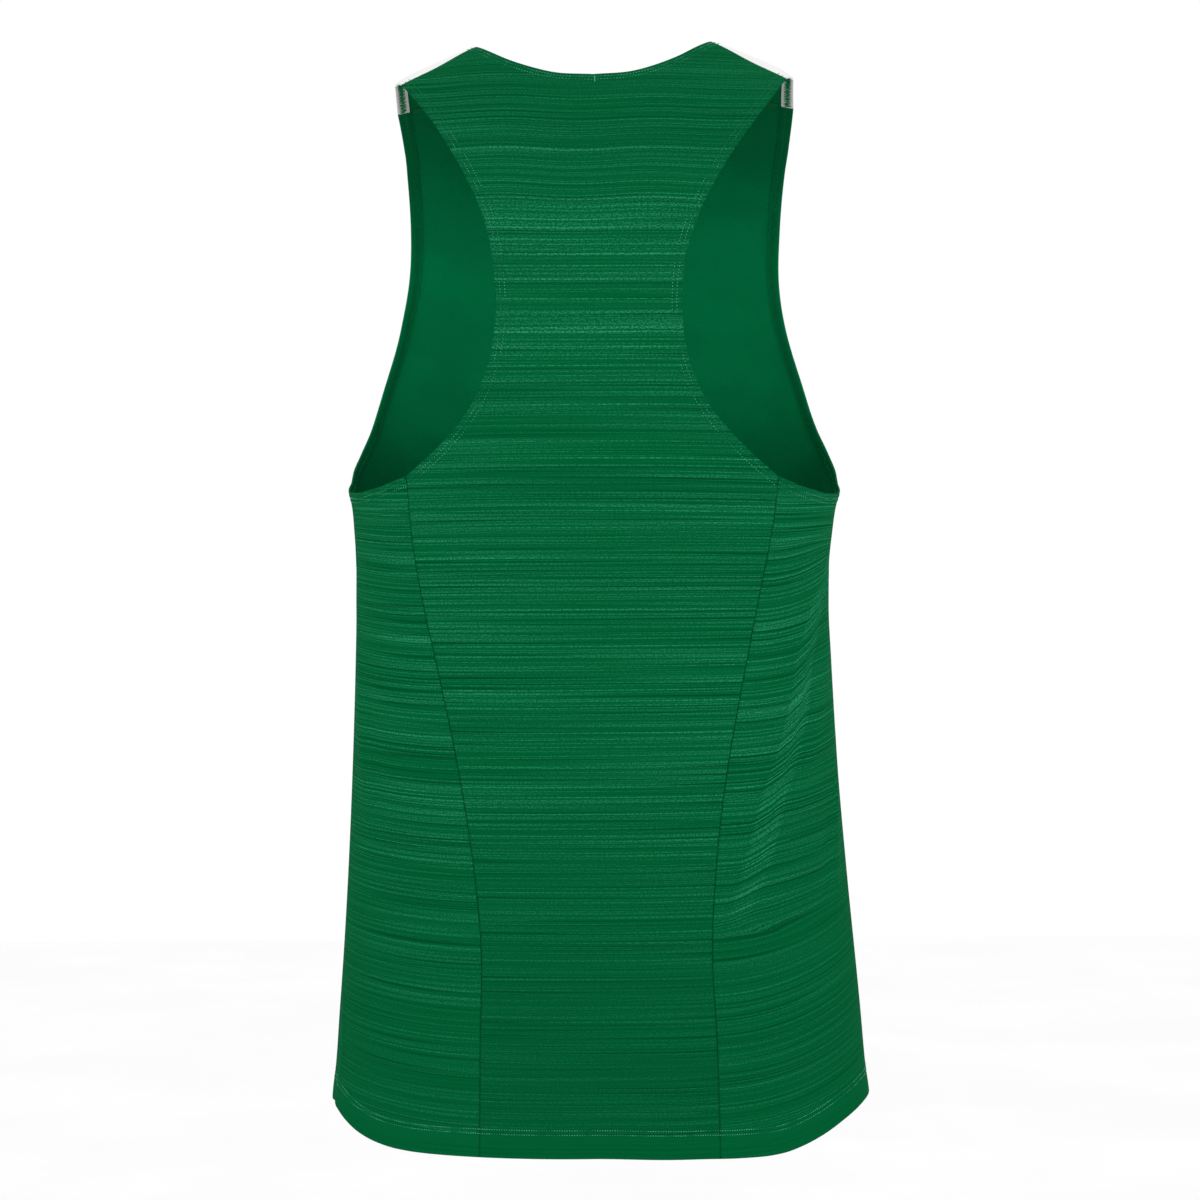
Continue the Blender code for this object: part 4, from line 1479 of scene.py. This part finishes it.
@dataclass
class BodyPanel:
    """The back or the front, with its turned neck, armholes and hem."""

    node: str
    neck: tuple[Edge, ...]
    shoulder: tuple[Edge, ...]
    angle_of: Callable[..., Array]
    is_front: bool
    flat: tuple[float, float]
    area: float
    finishes: Wardrobe
    places_from: float
    neck_strips: int = 36
    strap_strips: int = 24
    armhole_rows: int = 64
    side_rows: int = 92

    def armhole(self, count: int) -> Array:
        """The armhole edge on the wearer's left."""
        if self.is_front:
            return Pattern.front_armhole(count)
        return Pattern.trace(BACK_ARMHOLE, FIGURE.angle_behind, count)

    def side_seam(self, side: int, count: int) -> Array:
        """The side seam, in positive angles."""
        if self.is_front:
            return Pattern.front_side_seam(side, count)
        return Pattern.back_side_seam(side, count)

    def real(self, pairs: Array) -> Array:
        """Pairs of this panel's own net as pairs round from the middle of the back."""
        turned = pairs.copy()
        if self.is_front:
            turned[..., 0] = np.pi - turned[..., 0]
        return turned

    def net(self) -> Array:
        """The panel's fine net."""
        neck = Pattern.trace(self.neck, self.angle_of, self.neck_strips)
        strap = Pattern.trace(self.shoulder, self.angle_of, self.strap_strips)
        top = self.real(np.concatenate([neck, strap[1:]]))
        armhole = self.armhole(self.armhole_rows)
        left, right = (
            self.real(np.concatenate([armhole, self.side_seam(side, self.side_rows)[1:]])) for side in (1, -1)
        )
        bottom = Pattern.hem_between(-right[-1, 0], left[-1, 0], 2 * (len(top) - 1))
        filled = Pattern.fill(Pattern.both_sides(top), bottom, Pattern.mirrored(right), left)
        return self.real(Net.closed_in(filled))

    def marks(self, shape: tuple[int, int]) -> tuple[Array, Array]:
        """Which points are on turned edges, and which on seams."""
        extra = len(Net.close_lines) - 1
        half = shape[1] // 2
        free = np.zeros(shape, bool)
        sewn = np.zeros(shape, bool)
        free[0, half - self.neck_strips : half + self.neck_strips + 1] = True
        free[: self.armhole_rows + extra + 1, [0, -1]] = True
        free[-1] = True
        sewn[0, : half - self.neck_strips + 1] = True
        sewn[0, half + self.neck_strips :] = True
        sewn[self.armhole_rows + extra :, [0, -1]] = True
        return free, sewn

    def build(self) -> list[TurnedEdge]:
        """Make the cloth and its turned edges."""
        outer = self.finishes.streaked if self.is_front else self.finishes.back
        net = self.net()
        free, sewn = self.marks(net.shape[:2])
        piece = CutPiece(self.node, self.flat, self.area, (outer, self.finishes.inner), GREEN)
        cloth = piece.build(net, free, sewn, self.places_from)
        return piece.hang(self.turned_edges((outer, self.finishes.band)))

    def turned_edges(self, knit: tuple[Material, Material]) -> list[TurnedEdge]:
        """The neck, both armholes and the hem."""
        middle = 180.0 if self.is_front else 0.0
        body = Round(middle, -400)
        neck = self.real(Pattern.both_sides(self.real(Pattern.trace(self.neck, self.angle_of, 90))))
        ends = [self.real(self.side_seam(side, self.side_rows))[-1, 0] for side in (1, -1)]
        hem = self.real(Pattern.hem_between(-ends[1], ends[0], 160))
        made = [
            TurnedEdge(self.node + "_neck", Seamline.on_body(neck, body, EDGE_LINES), knit),
            TurnedEdge(self.node + "_hem", Seamline.on_body(hem, body, HEM_LINES), knit),
        ]
        left = self.armhole(150)
        for side, armhole in ((Side.LEFT, left), (Side.RIGHT, Pattern.mirrored(left))):
            armhole_lines = Seamline.on_body(armhole, Round(middle, -200), EDGE_LINES)
            made.append(TurnedEdge(self.node + "_armhole_" + side.word, armhole_lines, knit))
        return made


@dataclass
class SidePanel:
    """One side, with its turned underarm and hem."""

    side: Side
    finishes: Wardrobe
    places_from: float
    flat: tuple[float, float] = (0.21, 0.46)
    area: float = 0.067
    strips: int = 60
    rows: int = 92

    @property
    def node(self) -> str:
        """The CAD node that this panel stands for."""
        return "side_panel_" + self.side.word

    def underarm(self, first: Round, last: Round, count: int) -> Array:
        """The armhole's floor between the two seams."""
        angle = np.linspace(first.angle, last.angle, count + 1)
        known = [np.radians(point.angle) for point in UNDERARM]
        height = FIGURE.smooth_steps(known, [point.height for point in UNDERARM], angle)
        top = np.stack([angle, height], axis=1)
        top[0] = first
        top[-1] = last
        return top

    def build(self) -> list[TurnedEdge]:
        """Make the cloth and its turned edges."""
        sign = self.side.value
        behind = Pattern.back_side_seam(sign, self.rows)
        before = Pattern.front_side_seam(sign, self.rows)
        top = self.underarm(Round(*behind[0]), Round(*before[0]), self.strips)
        bottom = Pattern.hem_between(behind[-1, 0], before[-1, 0], self.strips, sign)
        way = np.array([sign, 1])
        net = Net.closed_in(Pattern.fill(top, bottom, behind, before)) * way
        free = np.zeros(net.shape[:2], bool)
        sewn = np.zeros(net.shape[:2], bool)
        free[[0, -1]] = True
        sewn[:, [0, -1]] = True
        cloths = (self.finishes.streaked, self.finishes.inner)
        piece = CutPiece(self.node, self.flat, self.area, cloths, GREEN)
        cloth = piece.build(net, free, sewn, self.places_from)
        body = Round(sign * 70, -500)
        knit = (self.finishes.streaked, self.finishes.band)
        edges = [
            TurnedEdge(self.node + "_underarm", Seamline.on_body(top * way, body, EDGE_LINES), knit),
            TurnedEdge(self.node + "_hem", Seamline.on_body(bottom * way, body, HEM_LINES), knit),
        ]
        return piece.hang(edges)


@dataclass
class Yoke:
    """One white shoulder piece, over the ridge from the back seam to the front one."""

    side: Side
    finishes: Wardrobe
    flat: tuple[float, float] = (0.075, 0.085)
    area: float = 0.0042
    strips: int = 24
    back_rows: int = 12
    front_rows: int = 22
    neck_point: float = 79.6
    shoulder_tip: float = 136.0
    drop_power: float = 1.6

    @property
    def node(self) -> str:
        """The CAD node that this piece stands for."""
        return "yoke_" + self.side.word

    def line(self, seam: Array, part: float, angle_of: Callable[..., Array]) -> Array:
        """One row, at a part of the way from the ridge to its seam, as (angle, height) pairs."""
        share = np.linspace(0, 1, len(seam))
        ridge_out = self.neck_point + (self.shoulder_tip - self.neck_point) * share
        seam_out = FIGURE.section("half_width", seam[:, 1]) * np.sin(seam[:, 0])
        seam_drop = FIGURE.ridge_height(seam_out) - seam[:, 1]
        out = ridge_out + (seam_out - ridge_out) * part
        height = FIGURE.ridge_height(out) - seam_drop * part**self.drop_power
        return np.stack([self.side.value * angle_of(out, height), height], axis=1)

    def net(self) -> Array:
        """The piece's fine net, from the back seam over the ridge to the front seam."""
        behind = Pattern.trace(BACK_SHOULDER, FIGURE.angle_behind, self.strips)
        before = Pattern.trace(FRONT_SHOULDER, FIGURE.angle_before, self.strips)
        parts = np.linspace(1, 0, self.back_rows + 1)
        rows = [self.line(behind, part, FIGURE.angle_behind) for part in parts]
        parts = np.linspace(0, 1, self.front_rows + 1)[1:]
        rows += [self.line(before, part, FIGURE.angle_before) for part in parts]
        return np.array(rows)

    def build(self) -> list[TurnedEdge]:
        """Make the cloth and its turned edges."""
        angle, height = np.moveaxis(self.net(), -1, 0)
        points = FIGURE.point(angle, height)
        down = np.linalg.norm(np.diff(points, axis=0), axis=-1).mean(axis=1)
        across = np.linalg.norm(np.diff(points, axis=1), axis=-1).mean(axis=0)
        places = np.stack(np.meshgrid(np.r_[0, np.cumsum(across)], np.r_[0, np.cumsum(down)]), axis=-1)
        grids = [Net.closed_in(grid) for grid in (points, FIGURE.normal(angle, height), places)]
        size = grids[0].shape[:2]
        free = np.zeros(size, bool)
        sewn = np.zeros(size, bool)
        free[:, [0, -1]] = True
        sewn[[0, -1]] = True
        piece = CutPiece(self.node, self.flat, self.area, (self.finishes.white, self.finishes.inner), WHITE)
        cloth = piece.shell(*grids, free, sewn, np.zeros(size))
        edges = [
            self._edge("_neck", grids),
            self._edge("_armhole", [grid[:, ::-1] for grid in grids]),
        ]
        return piece.hang(edges)

    def _edge(self, word: str, grids: Sequence[Array]) -> TurnedEdge:
        """A turned edge along the first column of the points, normals and places."""
        lengths = [run_length(row) for row in grids[0]]
        found = []
        for grid in grids:
            net = [
                [along_line(distance * METRE, length, row) for length, row in zip(lengths, grid)]
                for distance in EDGE_LINES
            ]
            found.append(np.array(net))
        # The turned-in band takes the painted-shade copy of the white knit.
        knit = (self.finishes.white, self.finishes.white_band)
        lines = Seamline(EDGE_LINES, *found)
        return TurnedEdge(self.node + word, lines, knit, WHITE, zigzag_pitch=1.15, zigzag_out=1.8)


@dataclass
class SeamAllowance:
    """The overlocked edges of a seam, laid to one side on the inside."""

    name: str
    pairs: Array
    inside: Round
    material: Material
    width: float = 6.2
    lap: float = 1.2
    deep: float = 1.5
    wall: float = 0.95

    def build(self) -> bpy.types.Object:
        """Make the strip."""
        start = Seamline.stepped(self.pairs, self.inside, -self.lap)
        lines = Seamline.on_body(start, self.inside, (0.0, 1.2, 3.2, self.width))
        ring = (
            (0.0, self.wall),
            (0.0, self.wall + self.deep * 0.7),
            (1.2, self.wall + self.deep),
            (3.2, self.wall + self.deep * 0.9),
            (self.width, self.wall + self.deep * 0.5),
            (self.width, self.wall),
            (3.2, self.wall),
            (1.2, self.wall),
        )
        return Workroom.finish(self.name, lines.strip(ring), [self.material], GREEN)


@dataclass
class Singlet:
    """The whole garment."""

    finishes: Wardrobe
    tack_top: float = -36.5
    tack_foot: float = -40.5
    tack_turn: float = -0.0045
    tack_radius: float = 0.35
    tack_proud: float = 0.2

    def build(self) -> None:
        """Make every piece, and log it."""
        back = BodyPanel(
            node="back_panel",
            neck=BACK_NECK,
            shoulder=BACK_SHOULDER,
            angle_of=FIGURE.angle_behind,
            is_front=False,
            flat=(0.27, 0.76),
            area=0.15,
            finishes=self.finishes,
            places_from=0.0,
        )
        front = BodyPanel(
            node="front_panel",
            neck=FRONT_NECK,
            shoulder=FRONT_SHOULDER,
            angle_of=FIGURE.angle_before,
            is_front=True,
            flat=(0.57, 0.75),
            area=0.29,
            finishes=self.finishes,
            places_from=3.0,
        )
        edges = back.build() + front.build()
        for side, offset in ((Side.LEFT, 7.4), (Side.RIGHT, 9.0)):
            edges += SidePanel(side, self.finishes, offset).build()
            edges += Yoke(side, self.finishes).build()
        self.sew(edges)
        self.join()
        self.tack()

    def sew(self, edges: Sequence[TurnedEdge]) -> None:
        """Stitch the turned edges, in groups that are sewn in one go."""
        groups = {
            "neck": lambda name: name.endswith("_neck"),
            "hem": lambda name: name.endswith("_hem"),
            "armhole_left": lambda name: "left" in name and ("armhole" in name or "underarm" in name),
            "armhole_right": lambda name: "right" in name and ("armhole" in name or "underarm" in name),
        }
        threads = (
            ("green", GREEN, self.finishes.needle, 0.16),
            ("white", WHITE, self.finishes.white_needle, 0.25),
        )
        for word, belongs in groups.items():
            chosen = [edge for edge in edges if belongs(edge.name)]
            pitch, length = STITCHES[word]
            for colour, slot, needle, radius in threads:
                ours = [edge for edge in chosen if edge.slot == slot]
                if not ours:
                    continue
                rows = [edge.needle_line(row) for edge in ours for row in edge.rows]
                Stitching(word + "_stitches_" + colour, needle, slot, pitch, length).build(rows)
                lines = [edge.looper_line() for edge in ours]
                name = word + "_looper_" + colour
                Workroom.thread(name, lines, radius * METRE, self.finishes.looper, GREEN)
            LOG.info("%s: sewn over %d edges", word, len(chosen))

    def join(self) -> None:
        """Lay the seam allowances inside, and stitch down the front side seams."""
        overlock = self.finishes.overlock
        for side in Side:
            sign = side.value
            way = np.array([sign, 1])
            behind = Pattern.back_side_seam(sign, 120)[2:-5] * way
            before = Pattern.front_side_seam(sign, 120)[2:-5] * way
            SeamAllowance("back_seam_" + side.word, behind, Round(sign * 80, -500), overlock).build()
            SeamAllowance("front_seam_" + side.word, before, Round(sign * 130, -500), overlock).build()
            lines = Seamline.on_body(before, Round(sign * 70, -500), (0.0, 1.6, 3.2))
            name = "front_seam_stitches_" + side.word
            Stitching(name, self.finishes.needle, GREEN).build([lines.at(1.6)[:2]])
            for word, edges, angle_of, below in (
                ("back", BACK_SHOULDER, FIGURE.angle_behind, Round(sign * 30, -150)),
                ("front", FRONT_SHOULDER, FIGURE.angle_before, Round(sign * 150, -150)),
            ):
                name = word + "_shoulder_seam_" + side.word
                pairs = Pattern.trace(edges, angle_of, 40)[7:-7] * way
                SeamAllowance(name, pairs, below, overlock, 4.4, deep=0.8).build()
            LOG.info("seams on the wearer's %s laid in", side.word)

    def tack(self) -> None:
        """The short bar where the neck stitching starts and ends."""
        heights = np.linspace(self.tack_foot, self.tack_top, 9)
        angle = np.full(9, self.tack_turn)
        point = FIGURE.point(angle, heights) + FIGURE.normal(angle, heights) * self.tack_proud * METRE
        Workroom.thread("neck_tack", [point], self.tack_radius * METRE, self.finishes.needle, GREEN)
        LOG.info("neck tack sewn")


@dataclass
class Studio:
    """Pale floor, soft light and the camera where the photo was taken."""

    focal_px: float = 2279.0
    picture_px: float = 1200.0
    distance: float = 1.55
    height: float = -0.3777
    offset: float = 0.0032
    yaw: float = -0.635
    roll: float = -0.44
    sensor: float = 36.0
    floor_height: float = -1.5

    def build(self) -> None:
        """Set the stage."""
        self._world()
        self._floor()
        self._lights()
        self._camera()
        bpy.context.scene.view_settings.view_transform = "Standard"

    def _world(self) -> None:
        """A plain white surround."""
        world = bpy.data.worlds.new("studio")
        world.use_nodes = True
        surround = world.node_tree.nodes["Background"]
        surround.inputs["Color"].default_value = (1.0, 1.0, 1.0, 1.0)
        surround.inputs["Strength"].default_value = 1.0
        bpy.context.scene.world = world

    def _floor(self) -> None:
        """The floor, well below the hem."""
        shape = bmesh.new()
        bmesh.ops.create_grid(shape, x_segments=2, y_segments=2, size=6.0)
        bmesh.ops.translate(shape, verts=shape.verts, vec=(0, 0, self.floor_height))
        mesh = bpy.data.meshes.new("floor")
        shape.to_mesh(mesh)
        shape.free()
        mesh.materials.append(StudioPaint().make())
        linked("floor", mesh)

    def _lights(self) -> None:
        """Two large soft boxes beside the camera and one above."""
        for name, place, size, power in (
            ("softbox_left", (1.6, 2.4, 0.6), 1.8, 3.0),
            ("softbox_right", (-1.6, 2.4, 0.6), 1.8, 3.0),
            ("softbox_top", (0.0, 0.4, 1.8), 1.6, 2.0),
        ):
            data = bpy.data.lights.new(name, "AREA")
            data.shape = "SQUARE"
            data.size = size
            data.energy = power
            lamp = linked(name, data)
            lamp.location = place
            aim = Vector((0.0, 0.0, -0.36)) - Vector(place)
            lamp.rotation_euler = aim.to_track_quat("-Z", "Y").to_euler()

    def _camera(self) -> None:
        """The camera, behind the garment and level with its middle."""
        yaw, roll = np.radians(self.yaw), np.radians(self.roll)
        right = Vector((-np.cos(yaw), np.sin(yaw), 0.0))
        ahead = Vector((-np.sin(yaw), -np.cos(yaw), 0.0))
        up = Vector((0.0, 0.0, 1.0))
        place = -ahead * self.distance + right * self.offset + up * self.height
        across = right * np.cos(roll) + up * np.sin(roll)
        upward = up * np.cos(roll) - right * np.sin(roll)
        data = bpy.data.cameras.new("camera")
        data.sensor_width = self.sensor
        data.lens = self.focal_px / self.picture_px * self.sensor
        camera = linked("camera", data)
        turned = Matrix((across, upward, -ahead)).transposed().to_4x4()
        camera.matrix_world = Matrix.Translation(place) @ turned
        bpy.context.scene.camera = camera


def main() -> None:
    """Build the garment and the studio."""
    logging.basicConfig(level=logging.INFO, format="%(message)s")
    Singlet(Wardrobe.stock()).build()
    Studio().build()


if __name__ == "__main__":
    main()
